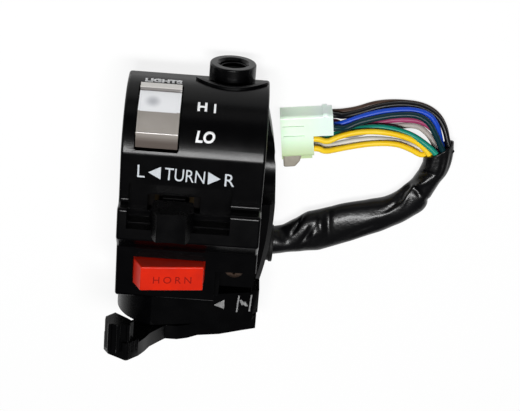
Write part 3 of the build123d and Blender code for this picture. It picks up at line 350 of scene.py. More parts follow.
FINISHES = (
    Finish("housing_black", (0.0004, 0.0004, 0.0006), (0.0008, 0.0008, 0.0010), 0.23, 0.08, 0.25,
           0.012, specular=0.16),
    Finish("screw_black", (0.02, 0.02, 0.022), (0.04, 0.036, 0.034), 0.40, 0.2, 0.2, 0.02, 2.0,
           metallic=1.0),
    Finish("screw_worn", (0.085, 0.055, 0.042), (0.04, 0.030, 0.024), 0.42, 0.2, 0.2, 0.02, 1.2,
           metallic=1.0),
    Finish("steel", (0.55, 0.55, 0.57), (0.62, 0.6, 0.56), 0.3, 0.15, 0.2, 0.02, 2.0, metallic=1.0),
    Finish("brass", (0.58, 0.42, 0.18), (0.50, 0.34, 0.12), 0.36, 0.2, 0.2, 0.02, 2.0,
           metallic=1.0),
    Finish("brass_dull", (0.030, 0.021, 0.010), (0.020, 0.014, 0.007), 0.6, 0.2, 0.2, 0.02, 2.0,
           metallic=1.0),
    Finish("rocker_grey", (0.285, 0.262, 0.238), (0.31, 0.285, 0.26), 0.20, 0.1, 0.5, 0.01,
           coat=0.3, layers=(
        # Painted highlight: the upper face made near white where a lamp's reflection would be
        Layer((0.80, 0.81, 0.83), (0, 0.697, -0.717), 5.1, 5.4, 0.12),
        # Painted shade: a dark band in the step just below the lip
        Layer((0.09, 0.08, 0.075), (0, 0.697, -0.717), 13.45, 13.75, 0.3),
        # Painted highlight along the lip
        Layer((0.62, 0.60, 0.57), (0, 0.697, -0.717), 14.4, 14.7, 0.2),
        # Painted shade: the lower end darker and browner, as it faces away from the light
        Layer((0.085, 0.068, 0.058), (0, -0.697, 0.717), 1.7, 4.4, 0.3),
        # A grey blotch inside the painted highlight of the upper face, painted reflection too
        Layer((0.42, 0.43, 0.46), (-13.6, 27.3, 12.9), 3.4, 0.5, measure=Measure.AWAY),
    )),
    Finish("thread_black", (0.004, 0.004, 0.005), (0.007, 0.007, 0.008), 0.3, specular=0.5),
    Finish("lever_black", (0.0005, 0.0005, 0.0007), (0.0010, 0.0010, 0.0012), 0.26, 0.12, 0.25,
           0.02, specular=0.15),
    Finish("choke_black", (0.0004, 0.0004, 0.0006), (0.0008, 0.0008, 0.0010), 0.26, 0.12, 0.25,
           0.02, specular=0.13),
    Finish("horn_red", (0.60, 0.016, 0.002), (0.50, 0.012, 0.002), 0.30, 0.08, 0.4, 0.015,
           specular=0.25),
    Finish("inner_black", (0.002, 0.002, 0.002), (0.003, 0.003, 0.003), 0.6, specular=0.1),
    # The board's own dark brown, darkened further to near black as painted shade in the turn recess
    Finish("board_brown", (0.0025, 0.0018, 0.0015), (0.0035, 0.0025, 0.0020), 0.65, specular=0.1),
    Finish("rubber_black", (0.003, 0.003, 0.003), (0.005, 0.005, 0.005), 0.55, 0.1, 0.4, 0.08,
           specular=0.2),
    Finish("sleeve_black", (0.0008, 0.0008, 0.0011), (0.0018, 0.0018, 0.0023), 0.31, 0.10, 1.6,
           0.10, 9.0, specular=0.30, coat=0.03),
    Finish("plug_mint", (0.74, 0.95, 0.74), (0.78, 0.96, 0.76), 0.32, 0.08, 0.5, 0.03, 5.0,
           subsurface=0.3, layers=(
        Layer((0.74, 0.86, 0.80), (1, 0.13, 0), 36.5, 44.0),
        # Darker and yellower towards the plug's lower side: partly painted shade on the side away
        # from the light, partly the yellow wires seen through the nylon
        Layer((0.50, 0.62, 0.34), (0.13, -1, 0), -6.5, 2.5),
    )),
    # Painted shade: the latch under the plug in brown-grey, standing in for the shaded mint nylon
    Finish("latch_brown", (0.24, 0.215, 0.18), (0.30, 0.275, 0.22), 0.4, 0.1, 0.6, 0.03, 3.0),
    Finish("legend_white", (0.86, 0.87, 0.88), (0.78, 0.79, 0.80), 0.5, 0.1, 0.15, 0.03, 0.5),
    Finish("legend_dim", (0.52, 0.55, 0.58), (0.44, 0.47, 0.50), 0.5, 0.1, 0.15, 0.03, 0.5),
    Finish("legend_worn", (0.30, 0.30, 0.30), (0.10, 0.10, 0.10), 0.5, 0.1, 0.15, 0.03, 0.5),
    Finish("legend_red", (0.22, 0.006, 0.004), (0.24, 0.006, 0.004), 0.4, 0.1, 0.3, 0.01, 1.0,
           specular=0.1),
    *(
        Finish("wire_" + colour, first, second, 0.34, 0.1, 0.6, 0.02, 8.0, specular=0.2)
        for colour, first, second in WIRE_COLOURS
    ),
)


@cache
def look(name: str) -> Material:
    """Give the material of a finish, building it on first use. Most names are material slots."""
    return next(finish for finish in FINISHES if finish.name == name).build()


# Mesh helpers


def linked(name: str, data: ID | None) -> Object:
    """Put data into the scene as a new object at the origin."""
    thing = bpy.data.objects.new(name, data)
    bpy.context.scene.collection.objects.link(thing)
    return thing


def from_shape(name: str, shape: BMesh) -> Object:
    """Turn a mesh under construction into an object in the scene."""
    mesh = bpy.data.meshes.new(name)
    shape.to_mesh(mesh)
    shape.free()
    return linked(name, mesh)


def frozen(thing: Object) -> Mesh:
    """Take an object's evaluated shape as a plain mesh, and remove the object."""
    graph = bpy.context.evaluated_depsgraph_get()
    mesh = bpy.data.meshes.new_from_object(thing.evaluated_get(graph))
    bpy.data.objects.remove(thing)
    return mesh


def spline_curve(name: str, points: list[Vector], resolution: int) -> Object:
    """Make a smooth open curve with the points as its controls, which starts and ends on them.

    Args:
        name: Name of the curve.
        points: The controls.
        resolution: Steps of the curve between two controls.

    Returns:
        The curve object.
    """
    curve = bpy.data.curves.new(name, "CURVE")
    curve.dimensions = "3D"
    curve.resolution_u = resolution
    spline = curve.splines.new("NURBS")
    spline.points.add(len(points) - 1)
    for control, place in zip(spline.points, points):
        control.co = (*place, 1)
    spline.order_u = 3
    spline.use_endpoint_u = True
    return linked(name, curve)


def spline_points(name: str, controls: list[Vector], resolution: int) -> list[Vector]:
    """Read the points of such a curve, from its start to its end."""
    line = frozen(spline_curve(name, controls, resolution))
    return [vert.co.copy() for vert in line.vertices]


def path_length(points: list[Vector]) -> float:
    """Add up the lengths between points."""
    return sum((after - before).length for before, after in zip(points, points[1:]))


def soften(thing: Object, width: float, segments: int) -> None:
    """Round a piece's sharp edges a little and shade it smooth elsewhere.

    Args:
        thing: The piece.
        width: Width of the rounding, in metres.
        segments: Number of faces across the rounding.
    """
    thing.data.shade_smooth()
    bevel = thing.modifiers.new("soft_edges", "BEVEL")
    bevel.width = width
    bevel.segments = segments
    bevel.limit_method = "ANGLE"
    bevel.angle_limit = SHARP_TURN
    bevel.harden_normals = False
    weights = thing.modifiers.new("even_normals", "WEIGHTED_NORMAL")
    weights.keep_sharp = False
    weights.weight = FACE_WEIGHT


@dataclass(frozen=True)
class Skin:
    """A cleaned copy of a CAD node, with softened edges, that stands in the node's place.

    The edge is the width of the rounding in millimetres, and the segments are the faces across
    it. The slot is named where it differs from the finish, but it is not used.
    """

    node: str
    finish: str
    edge: float
    segments: int = 3
    slot: str | None = None

    def build(self) -> None:
        """Make the copy and dress it."""
        shape = bmesh.new()
        shape.from_mesh(FRAME["nodes"][self.node].data)
        bmesh.ops.remove_doubles(shape, verts=shape.verts, dist=SAME_POINT)
        bmesh.ops.dissolve_limit(shape, angle_limit=FLAT_TURN, verts=shape.verts, edges=shape.edges)
        bmesh.ops.triangulate(shape, faces=[face for face in shape.faces if len(face.verts) > 4])
        piece = from_shape(self.node + "_skin", shape)
        soften(piece, self.edge * MM, self.segments)
        piece.data.materials.clear()
        piece.data.materials.append(look(self.finish))
        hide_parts(self.node)
        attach(piece, BODY_OF[self.node])


# Pieces that repeat, made with Geometry Nodes


def start_tree(name: str, sockets: dict[Kind, list[str]]) -> tuple[Graph, Node]:
    """Start a geometry tree with named inputs, and give its graph and its input node."""
    graph = Graph(bpy.data.node_groups.new(name, "GeometryNodeTree"))
    return graph, graph.declare(Side.INPUT, sockets | {Kind.MATERIAL: ["Material"]})


def end_tree(graph: Graph, entry: Node, shape: Node, output: str) -> NodeTree:
    """Close a geometry tree with Realize Instances and Set Material.

    Args:
        graph: The tree's graph.
        entry: Its input node.
        shape: The node that makes the shape.
        output: The output of that node.

    Returns:
        The tree.
    """
    leave = graph.declare(Side.OUTPUT, {Kind.GEOMETRY: ["Geometry"]})
    real = graph.add("GeometryNodeRealizeInstances")
    dress = graph.add("GeometryNodeSetMaterial")
    graph.join(
        (shape, output, real, "Geometry"), (real, "Geometry", dress, "Geometry"),
        (entry, "Material", dress, "Material"), (dress, "Geometry", leave, "Geometry"),
    )
    return graph.tree


def thread_tree() -> NodeTree:
    """Build the tree of a screw thread: a ridge wound round the Z axis."""
    graph, entry = start_tree("thread", {Kind.FLOAT: ["Radius", "Height", "Turns", "Ridge"]})
    line = graph.add("GeometryNodeCurveSpiral", {"Resolution": 48})
    section = graph.add("GeometryNodeCurvePrimitiveCircle", {"Resolution": 6})
    skin = graph.add("GeometryNodeCurveToMesh", {"Fill Caps": True})
    graph.join(
        (entry, "Radius", line, "Start Radius"), (entry, "Radius", line, "End Radius"),
        (entry, "Height", line, "Height"), (entry, "Turns", line, "Rotations"),
        (entry, "Ridge", section, "Radius"), (line, "Curve", skin, "Curve"),
        (section, "Curve", skin, "Profile Curve"),
    )
    return end_tree(graph, entry, skin, "Mesh")


def rib_tree() -> NodeTree:
    """Build the tree of a row of equal ribs along a line."""
    graph, entry = start_tree("ribs", {Kind.INT: ["Count"], Kind.VECTOR: ["Pitch", "Size"]})
    line = graph.add("GeometryNodeMeshLine")
    rib = graph.add("GeometryNodeMeshCube")
    row = graph.add("GeometryNodeInstanceOnPoints")
    graph.join(
        (entry, "Count", line, "Count"), (entry, "Pitch", line, "Offset"),
        (entry, "Size", rib, "Size"), (line, "Mesh", row, "Points"), (rib, "Mesh", row, "Instance"),
    )
    return end_tree(graph, entry, row, "Instances")


def grown(name: str, tree: NodeTree, values: dict[str, object], place: Matrix) -> Object:
    """Run a geometry tree and keep its result as a plain mesh at its place.

    Args:
        name: Name of the piece.
        tree: The geometry node tree.
        values: The value of every named input.
        place: Where the tree's own origin and axes go.

    Returns:
        The piece.
    """
    seed = linked(name + "_seed", bpy.data.meshes.new(name + "_seed"))
    modifier = seed.modifiers.new("nodes", "NODES")
    modifier.node_group = tree
    for item in tree.interface.items_tree:
        if item.in_out == Side.INPUT.name:
            modifier[item.identifier] = values[item.name]
    bpy.context.view_layer.update()
    mesh = frozen(seed)
    mesh.transform(place)
    return linked(name, mesh)


# Lettering


@dataclass
class FrontSurface:
    """The front face's curve, so that flat artwork can be laid on it.

    A place on it is given by X and by the length along the profile from the crease, up the
    crown when positive and down the panel when negative.
    """

    radius: float = 22.0 * MM
    centre_y: float = 8.0 * MM
    level: float = 21.6 * MM
    panel_low_y: float = -4.1 * MM
    panel_low_level: float = 21.1 * MM
    outwards: Vector = field(default_factory=lambda: Vector((0, 0.3, 1)))

    def at(self, x: float, along: float, lift: float) -> Vector:
        """Give a point on the surface, lifted off it.

        Args:
            x: Place along the bar.
            along: Length along the profile from the crease.
            lift: Height over the surface.

        Returns:
            The point.
        """
        crease_angle = asin(self.level / self.radius)
        if along >= 0:
            angle = crease_angle - along / self.radius
            reach = self.radius + lift
            return Vector((x, self.centre_y + reach * cos(angle), reach * sin(angle)))
        crease_y = self.centre_y + self.radius * cos(crease_angle)
        fall = Vector((0, self.panel_low_y - crease_y, self.panel_low_level - self.level))
        run = fall.normalized()
        normal = Vector((0, run.z, -run.y))
        return Vector((x, crease_y, self.level)) + run * -along + normal * lift


@dataclass(frozen=True)
class Word:
    """A word on the housing: its middle, its size and its finish, in millimetres.

    On the front face, along is the length from the crease. The weight thickens the strokes by a
    share of the height, the slant leans them, and the turn is in degrees.
    """

    name: str
    text: str
    x: float
    along: float
    width: float
    height: float
    weight: float
    finish: str
    slant: float = 0.0
    turn: float = 0.0
    spacing: float = 1.0

    def flat(self) -> BMesh:
        """Make the word as flat letters about its middle.

        Returns:
            A flat mesh in its own XY plane, in metres.
        """
        curve = bpy.data.curves.new("letters", "FONT")
        curve.body = self.text
        curve.size = 1.0
        curve.offset = self.weight
        curve.shear = self.slant
        curve.space_character = self.spacing
        curve.resolution_u = 4
        flat = bmesh.new()
        flat.from_mesh(frozen(linked("letters", curve)))
        for axis, size in enumerate((self.width * MM, self.height * MM)):
            places = [vert.co[axis] for vert in flat.verts]
            low, high = min(places), max(places)
            for vert in flat.verts:
                vert.co[axis] = (vert.co[axis] - (low + high) / 2) * size / (high - low)
        flat.transform(Matrix.Rotation(radians(self.turn), 4, "Z"))
        return flat


class Pointing(Enum):
    """The way that an arrow head points along the bar."""

    LEFT = -1
    RIGHT = 1


WORDS = (
    Word("legend_lights", "LIGHTS", -11.0, 27.2, 11.6, 2.4, 0.06, "legend_white"),
    Word("legend_high_h", "H", 1.7, 16.7, 3.0, 3.3, 0.035, "legend_white"),
    Word("legend_high_i", "I", 5.6, 16.4, 0.65, 3.3, 0.0, "legend_white"),
    Word("legend_low", "LO", 3.3, 6.8, 6.0, 3.8, 0.035, "legend_white", 0.14),
    Word("legend_left", "L", -15.7, -5.6, 2.3, 4.2, 0.0, "legend_dim"),
    Word("legend_turn", "TURN", -2.2, -6.1, 12.4, 4.2, 0.0, "legend_dim", turn=-1.8),
    Word("legend_right", "R", 11.7, -6.6, 3.0, 4.2, 0.0, "legend_dim"),
)
HORN = Word("legend_horn", "HORN", -4.0, -27.6, 12.0, 2.4, 0.0, "legend_red", spacing=1.45)

# The choke's flap between its two bars, drawn about its middle, in millimetres
FLAP = (
    (-0.5, -0.7), (-0.15, -0.35), (0.9, -1.2), (1.5, -1.0),
    (0.5, 0.75), (0.15, 0.35), (-0.9, 1.5), (-1.5, 1.3),
)


@dataclass
class Legends:
    """The plain function words and marks on the housing, the horn button and the choke."""

    front: FrontSurface = field(default_factory=FrontSurface)
    thickness: float = 0.04 * MM
    same_point: float = 0.001 * MM
    step: float = 0.5 * MM
    reach: float = 12 * MM
    above: float = 60 * MM
    turn_arrow: tuple[float, float] = (3.9 * MM, 4.3 * MM)
    choke_arrow: tuple[float, float] = (3.4 * MM, 3.4 * MM)
    choke_arrow_x: float = 11.4 * MM
    choke_bar_x: tuple[float, float] = (17.4 * MM, 21.55 * MM)
    choke_middle_y: float = -43.2 * MM
    choke_bar_height: float = 6.2 * MM
    choke_bar_width: float = 0.5 * MM
    choke_bar_lean: float = 0.35 * MM

    def marks(self, outlines: list[Outline]) -> BMesh:
        """Make flat marks from corner points in metres."""
        flat = bmesh.new()
        for outline in outlines:
            flat.faces.new([flat.verts.new((x, y, 0)) for x, y in outline])
        return flat

    def lay_on_front(self, name: str, flat: BMesh, x: float, along: float, finish: str) -> None:
        """Lay flat artwork on the housing's front face, cut into strips that follow its curve.

        Args:
            name: Name of the piece.
            flat: The flat mesh, centred.
            x: Place of its middle along the bar.
            along: Place of its middle along the profile from the crease.
            finish: Name of the finish.
        """
        lines = int(self.reach / self.step)
        for number in range(-lines, lines + 1):
            whole = flat.verts[:] + flat.edges[:] + flat.faces[:]
            level = (0, number * self.step, 0)
            bmesh.ops.bisect_plane(flat, geom=whole, plane_co=level, plane_no=(0, 1, 0))
        bmesh.ops.triangulate(flat, faces=flat.faces[:])
        for vert in flat.verts:
            vert.co = self.front.at(x + vert.co.x, along + vert.co.y, self.thickness / 2)
        self.finish_piece(name, flat, "housing", finish, self.front.outwards)

    def drop_on_node(
        self, name: str, flat: BMesh, node: str, x: float, y: float, finish: str
    ) -> None:
        """Lay flat artwork straight down, from above, on the surface of a node.

        Args:
            name: Name of the piece.
            flat: The flat mesh, centred.
            node: The CAD node that carries the artwork, and whose body it rides on.
            x: Place of its middle along the bar.
            y: Place of its middle up the switch.
            finish: Name of the finish.
        """
        mesh = FRAME["nodes"][node].data
        corners = [vert.co for vert in mesh.vertices]
        tree = BVHTree.FromPolygons(corners, [face.vertices for face in mesh.polygons])
        bmesh.ops.triangulate(flat, faces=flat.faces[:])
        for vert in flat.verts:
            above = Vector((x + vert.co.x, y + vert.co.y, self.above))
            place, normal, _, _ = tree.ray_cast(above, -UP)
            vert.co = place + normal * self.thickness
        self.finish_piece(name, flat, BODY_OF[node], finish, UP)

    def finish_piece(
        self, name: str, flat: BMesh, body: str, finish: str, outwards: Vector
    ) -> None:
        """Thicken laid artwork, dress it and tie it to a body."""
        bmesh.ops.remove_doubles(flat, verts=flat.verts, dist=self.same_point)
        for face in flat.faces:
            face.normal_update()
            if face.normal.dot(outwards) < 0:
                face.normal_flip()
        piece = from_shape(name, flat)
        thicken = piece.modifiers.new("paint", "SOLIDIFY")
        thicken.thickness = self.thickness
        thicken.offset = 0
        piece.data.materials.append(look(finish))
        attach(piece, body)

    def arrow(self, width: float, height: float, pointing: Pointing) -> Outline:
        """Give the corners of a flat arrow head."""
        sign = pointing.value
        back = -sign * width / 2
        return [(-back, 0), (back, sign * height / 2), (back, -sign * height / 2)]

    def bar(self, x: float) -> Outline:
        """Give the corners of an upright choke bar that leans to the right."""
        half, high, lean = self.choke_bar_width / 2, self.choke_bar_height / 2, self.choke_bar_lean
        low = [(x - half, -high), (x + half, -high)]
        return low + [(x + half + lean, high), (x - half + lean, high)]

    def build(self) -> None:
        """Make and lay every legend."""
        for word in WORDS:
            self.lay_on_front(word.name, word.flat(), word.x * MM, word.along * MM, word.finish)
        for name, x, along, pointing in (
            ("legend_left_arrow", -11.6 * MM, -5.8 * MM, Pointing.LEFT),
            ("legend_right_arrow", 6.9 * MM, -6.4 * MM, Pointing.RIGHT),
        ):
            flat = self.marks([self.arrow(*self.turn_arrow, pointing)])
            self.lay_on_front(name, flat, x, along, "legend_dim")
        x, y = HORN.x * MM, HORN.along * MM
        self.drop_on_node(HORN.name, HORN.flat(), "horn_button", x, y, HORN.finish)
        left, right = self.choke_bar_x
        half = (right - left) / 2
        flap = [(x * MM, y * MM) for x, y in FLAP]
        arrow = self.arrow(*self.choke_arrow, Pointing.LEFT)
        for name, outlines, x in (
            ("legend_choke_arrow", [arrow], self.choke_arrow_x),
            ("legend_choke_flap", [self.bar(-half), self.bar(half), flap], left + half),
        ):
            flat = self.marks(outlines)
            self.drop_on_node(name, flat, "choke_housing", x, self.choke_middle_y, "legend_worn")


# Harness


@dataclass
class Plug:
    """Place and sizes of the plug at the harness's far end.

    Its first two columns end at the step's length.
    """

    origin: Vector = field(default_factory=lambda: millimetres(27.6, 9.3, -12.2))
    turn: float = radians(7.5)
    length: float = 17.2 * MM
    step_length: float = 10.6 * MM
    column_pitch: float = 3.4 * MM
    row_pitch: float = 3.0 * MM

    def at(self, along: float, across: float, up: float) -> Vector:
        """Give a point in the plug's own directions."""
        forward = Vector((cos(self.turn), sin(self.turn), 0))
        side = Vector((-forward.y, forward.x, 0))
        return self.origin + forward * along + side * across + UP * up

    def cell(self, column: int, row: int, beyond: float) -> Vector:
        """Give the middle of a cell at a distance beyond the end that the wires leave."""
        end = self.step_length if column < 2 else self.length
        return self.at(end + beyond, (column - 1.5) * self.column_pitch, (row - 1) * self.row_pitch)


@dataclass
class Mouth:
    """The slanted mouth of the sleeve, where the wires go in."""

    centre: Vector = field(default_factory=lambda: millimetres(80.2, 7.5, -12.1))
    outwards: Vector = field(default_factory=lambda: Vector((-0.547, 0.837, 0)).normalized())

    def at(self, across: float, up: float, out: float) -> Vector:
        """Give a point across, above and out of the mouth."""
        side = Vector((self.outwards.y, -self.outwards.x, 0))
        return self.centre + side * across + UP * up + self.outwards * out


@dataclass(frozen=True)
class WireRoute:
    """A wire's cell in the plug, place in the mouth and free corners, in millimetres."""

    colour: str
    cell: tuple[int, int]
    slot: tuple[float, float]
    corners: tuple[Point, ...]


WIRES = (
    WireRoute("brown", (3, 0), (3.4, -1.1), (
        (47.5, 16.9, -15.6), (52.2, 17.9, -16.0), (58.2, 20.6, -16.0), (65.4, 21.6, -16.0),
        (73.2, 21.3, -16.0), (78.6, 18.8, -15.8), (81.7, 14.6, -14.6),
    )),
    WireRoute("black", (3, 1), (3.4, 1.1), (
        (47.4, 15.9, -13.4), (53.5, 17.7, -14.0), (59.5, 20.3, -14.0), (66.7, 21.8, -14.0),
        (73.5, 21.3, -13.9), (78.7, 18.5, -13.4), (81.5, 14.5, -12.2),
    )),
    WireRoute("blue", (2, 1), (1.15, 0.0), (
        (48.5, 14.5, -12.2), (55.4, 17.7, -12.2), (62.0, 19.7, -12.2), (69.5, 20.8, -12.0),
        (75.4, 19.8, -11.7), (78.4, 16.3, -11.2), (79.8, 12.2, -11.6),
    )),
    WireRoute("teal", (2, 2), (1.15, 2.6), (
        (48.3, 13.0, -9.9), (52.6, 15.5, -10.4), (58.2, 17.4, -10.4), (64.3, 19.0, -10.4),
        (70.9, 19.8, -10.0), (75.2, 17.9, -9.6), (77.5, 14.5, -9.2),
    )),
    WireRoute("pink", (2, 0), (1.15, -2.6), (
        (48.0, 11.5, -15.6), (55.3, 12.3, -15.6), (62.3, 14.9, -15.6), (68.0, 15.8, -15.4),
        (73.3, 16.0, -14.6), (77.4, 13.9, -14.2), (80.5, 10.4, -14.2),
    )),
    WireRoute("grey", (1, 0), (-1.15, -2.6), (
        (48.4, 8.1, -15.6), (54.6, 9.6, -15.8), (60.6, 12.4, -15.8), (66.4, 13.1, -15.8),
        (72.2, 14.0, -16.0), (76.2, 11.6, -15.8), (78.7, 8.6, -15.2),
    )),
    WireRoute("green", (1, 1), (-1.15, 2.6), (
        (44.6, 9.3, -12.5), (49.8, 11.5, -12.9), (55.0, 12.8, -12.9), (60.3, 13.6, -12.9),
        (65.2, 13.2, -12.6), (70.7, 12.0, -11.8), (75.2, 9.9, -10.1),
    )),
    WireRoute("yellow", (1, 2), (-3.4, 1.1), (
        (42.9, 8.1, -9.4), (46.0, 9.9, -9.9), (50.6, 11.6, -10.4), (57.3, 12.7, -10.8),
        (65.1, 12.3, -10.8), (71.2, 10.6, -11.0), (74.9, 8.2, -11.2),
    )),
    WireRoute("white", (0, 1), (-1.35, -0.4), (
        (43.8, 5.3, -12.9), (50.8, 7.4, -13.6), (58.0, 8.9, -13.6),
        (65.8, 8.7, -13.9), (70.9, 7.4, -14.4), (75.2, 6.3, -14.4),
    )),
    WireRoute("yellow_lower", (0, 2), (-3.4, -1.1), (
        (42.5, 4.6, -9.6), (46.2, 5.2, -10.8), (51.3, 6.3, -11.8), (58.0, 7.9, -11.9),
        (65.7, 8.5, -11.9), (71.3, 6.6, -12.2), (74.8, 4.6, -12.3),
    )),
)


@dataclass(frozen=True)
class Crease:
    """A fold (negative rise) or a swelling of the sleeve's skin.

    The place is a length from the housing and an angle round the sleeve, where 90 degrees is
    on top and 180 on the inner side of the bend. Lengths are in millimetres.
    """

    along: float
    angle: float
    rise: float
    reach: float
    breadth: float
    slant: float = 0.0

    def at(self, along: float, angle: float, radius: float) -> float:
        """Give the skin's rise at a place, in millimetres."""
        run = along - self.along
        turn = (angle - self.angle + 180) % 360 - 180
        across = radians(turn) * radius
        tilt = radians(self.slant)
        first = run * cos(tilt) + across * sin(tilt)
        second = across * cos(tilt) - run * sin(tilt)
        return self.rise * exp(-((first / self.reach) ** 2) - (second / self.breadth) ** 2)


# Length from the housing, half width and half height of the sleeve
SLEEVE_SECTIONS = (
    (0.0, 4.7, 4.7), (11.8, 4.8, 4.6), (16.8, 5.9, 4.3), (22.4, 7.2, 4.1), (33.0, 7.0, 4.1),
    (43.3, 6.1, 4.3), (48.7, 5.4, 4.4), (58.6, 5.0, 4.3), (63.5, 4.2, 4.4), (67.3, 4.1, 4.4),
    (70.9, 4.5, 4.4), (76.0, 4.9, 4.3), (90.0, 4.95, 4.2),
)

CREASES = (
    Crease(12.0, 130, -1.1, 1.8, 3.2, 20),
    Crease(20.5, 138, 1.1, 4.2, 3.8),
    Crease(17.5, 140, -0.8, 2.6, 0.6, 35),
    Crease(20.0, 100, -0.9, 3.0, 0.7, 30),
    Crease(22.2, 92, 0.5, 1.6, 0.7, 30),
    Crease(25.4, 112, 0.7, 1.3, 3.0, -22),
    Crease(28.0, 116, -0.6, 1.2, 4.2, -22),
    Crease(40.0, 62, -0.3, 6.0, 0.8, 6),
    Crease(45.0, 104, 0.25, 9.0, 1.0, 8),
    Crease(50.5, 122, -0.5, 4.5, 0.7, 12),
    Crease(56.0, 150, -1.2, 2.6, 1.0, 24),
    Crease(57.5, 122, 0.5, 4.0, 0.7, 20),
    Crease(57.5, 5, 0.7, 2.5, 3.0),
    Crease(60.8, 12, -0.5, 0.8, 3.0),
    Crease(59.5, 166, -1.5, 2.2, 1.5),
    Crease(61.8, 112, -0.8, 1.1, 2.8, -20),
    Crease(64.5, 122, 0.8, 3.2, 1.1, -30),
    Crease(68.6, 138, -0.9, 0.8, 3.2, 22),
    Crease(73.0, 76, -0.4, 4.0, 0.7, 4),
    Crease(73.5, 118, 0.35, 4.0, 0.8, -6),
    Crease(74.0, 40, -0.3, 3.0, 0.8),
)

# The sleeve's route from the grommet to the mouth
SLEEVE_ROUTE = (
    (20.3, -30.8, -10.6), (29.5, -29.8, -10.9), (36.9, -27.6, -11.8), (44.5, -24.8, -12.1),
    (54.1, -21.0, -12.1), (63.8, -17.7, -12.1), (70.4, -14.4, -12.1), (75.4, -8.6, -12.1),
    (78.3, -2.4, -12.1), (80.7, 2.6, -12.1), (80.2, 7.5, -12.1),
)


@dataclass
class Sleeve:
    """The wrinkled sleeve: a tube of uneven section, cut aslant at its mouth.

    Its inner end is closed, and its mouth is a short open recess with a dark bottom. Sizes are
    in millimetres.
    """

    mouth: Mouth
    radius: float = 4.7
    spline_steps: int = 24
    steps: int = 260
    around: int = 72
    lip: float = 0.7
    recess: float = 2.6
    slant_run: float = 9.0

    def even_points(self) -> list[Vector]:
        """Read evenly spaced points from the spline of the route.

        Returns:
            Points in millimetres, from the housing to the mouth.
        """
        controls = [millimetres(*place) for place in SLEEVE_ROUTE]
        line = spline_points("sleeve_route", controls, self.spline_steps)
        points = [point / MM for point in line]
        lengths = [0.0]
        for before, after in zip(points, points[1:]):
            lengths.append(lengths[-1] + (after - before).length)
        even, place = [], 0
        for step in range(self.steps + 1):
            wanted = lengths[-1] * step / self.steps
            while place < len(points) - 2 and lengths[place + 1] < wanted:
                place += 1
            share = (wanted - lengths[place]) / max(lengths[place + 1] - lengths[place], 1e-9)
            even.append(points[place].lerp(points[place + 1], min(share, 1.0)))
        return even

    def section(self, along: float) -> tuple[float, float]:
        """Give the half width and half height at a length, eased between the listed ones."""
        for before, after in zip(SLEEVE_SECTIONS, SLEEVE_SECTIONS[1:]):
            if along <= after[0]:
                share = (along - before[0]) / (after[0] - before[0])
                blend = (share + share * share * (3 - 2 * share)) / 2
                return tuple(low + (high - low) * blend for low, high in zip(before[1:], after[1:]))
        return SLEEVE_SECTIONS[-1][1:]

    def ring(self, centre: Vector, tangent: Vector, along: float) -> list[Vector]:
        """Give the points of the skin round one place of the route."""
        side = tangent.cross(UP).normalized()
        wide, tall = self.section(along)
        points = []
        for number in range(self.around):
            degrees = 360 * number / self.around
            angle = radians(degrees)
            rise = sum(crease.at(along, degrees, self.radius) for crease in CREASES)
            across, high = cos(angle) * (wide + rise), sin(angle) * (tall + rise)
            points.append(centre + side * across + UP * high)
        return points

    def rings(self, route: list[Vector], total: float) -> list[list[Vector]]:
        """Give the rings of the skin and of the recess, turned towards the cut near the mouth.

        Args:
            route: Evenly spaced points of the route.
            total: Length of the route.

        Returns:
            The rings, from the housing to the bottom of the recess.
        """
        middle, outwards = self.mouth.centre / MM, self.mouth.outwards
        rings = []
        for number, centre in enumerate(route):
            tangent = (route[min(number + 1, self.steps)] - route[max(number - 1, 0)]).normalized()
            along = total * number / self.steps
            share = max(0.0, 1 - (total - along) / self.slant_run)
            facing = tangent.dot(outwards)
            ring = []
            for point in self.ring(centre, tangent, along):
                to_cut = (middle - point).dot(outwards) / facing
                slanted = (centre - point).dot(outwards) / facing * share * share
                ring.append(point + tangent * (to_cut if number == self.steps else slanted))
            rings.append(ring)
        inside = 1 - self.lip / self.radius
        for back in (0.0, self.recess):
            start = middle - tangent * back
            rings.append([start + (point - middle) * inside for point in rings[self.steps]])
        return rings

    def build(self) -> None:
        route = self.even_points()
        total = path_length(route)
        shape = bmesh.new()
        rings = [
            [shape.verts.new(point * MM) for point in ring] for ring in self.rings(route, total)
        ]
        for before, after in zip(rings, rings[1:]):
            for place in range(self.around):
                beside = (place + 1) % self.around
                shape.faces.new((before[place], before[beside], after[beside], after[place]))
        shape.faces.new(list(reversed(rings[0])))
        bottom = shape.faces.new(rings[-1])
        bottom.material_index = 1
        bmesh.ops.recalc_face_normals(shape, faces=shape.faces)
        piece = from_shape("sleeve_skin", shape)
        piece.data.shade_smooth()
        piece.data.materials.append(look("sleeve_black"))
        piece.data.materials.append(look("inner_black"))
        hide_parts("harness_sleeve")
        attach(piece, "housing")


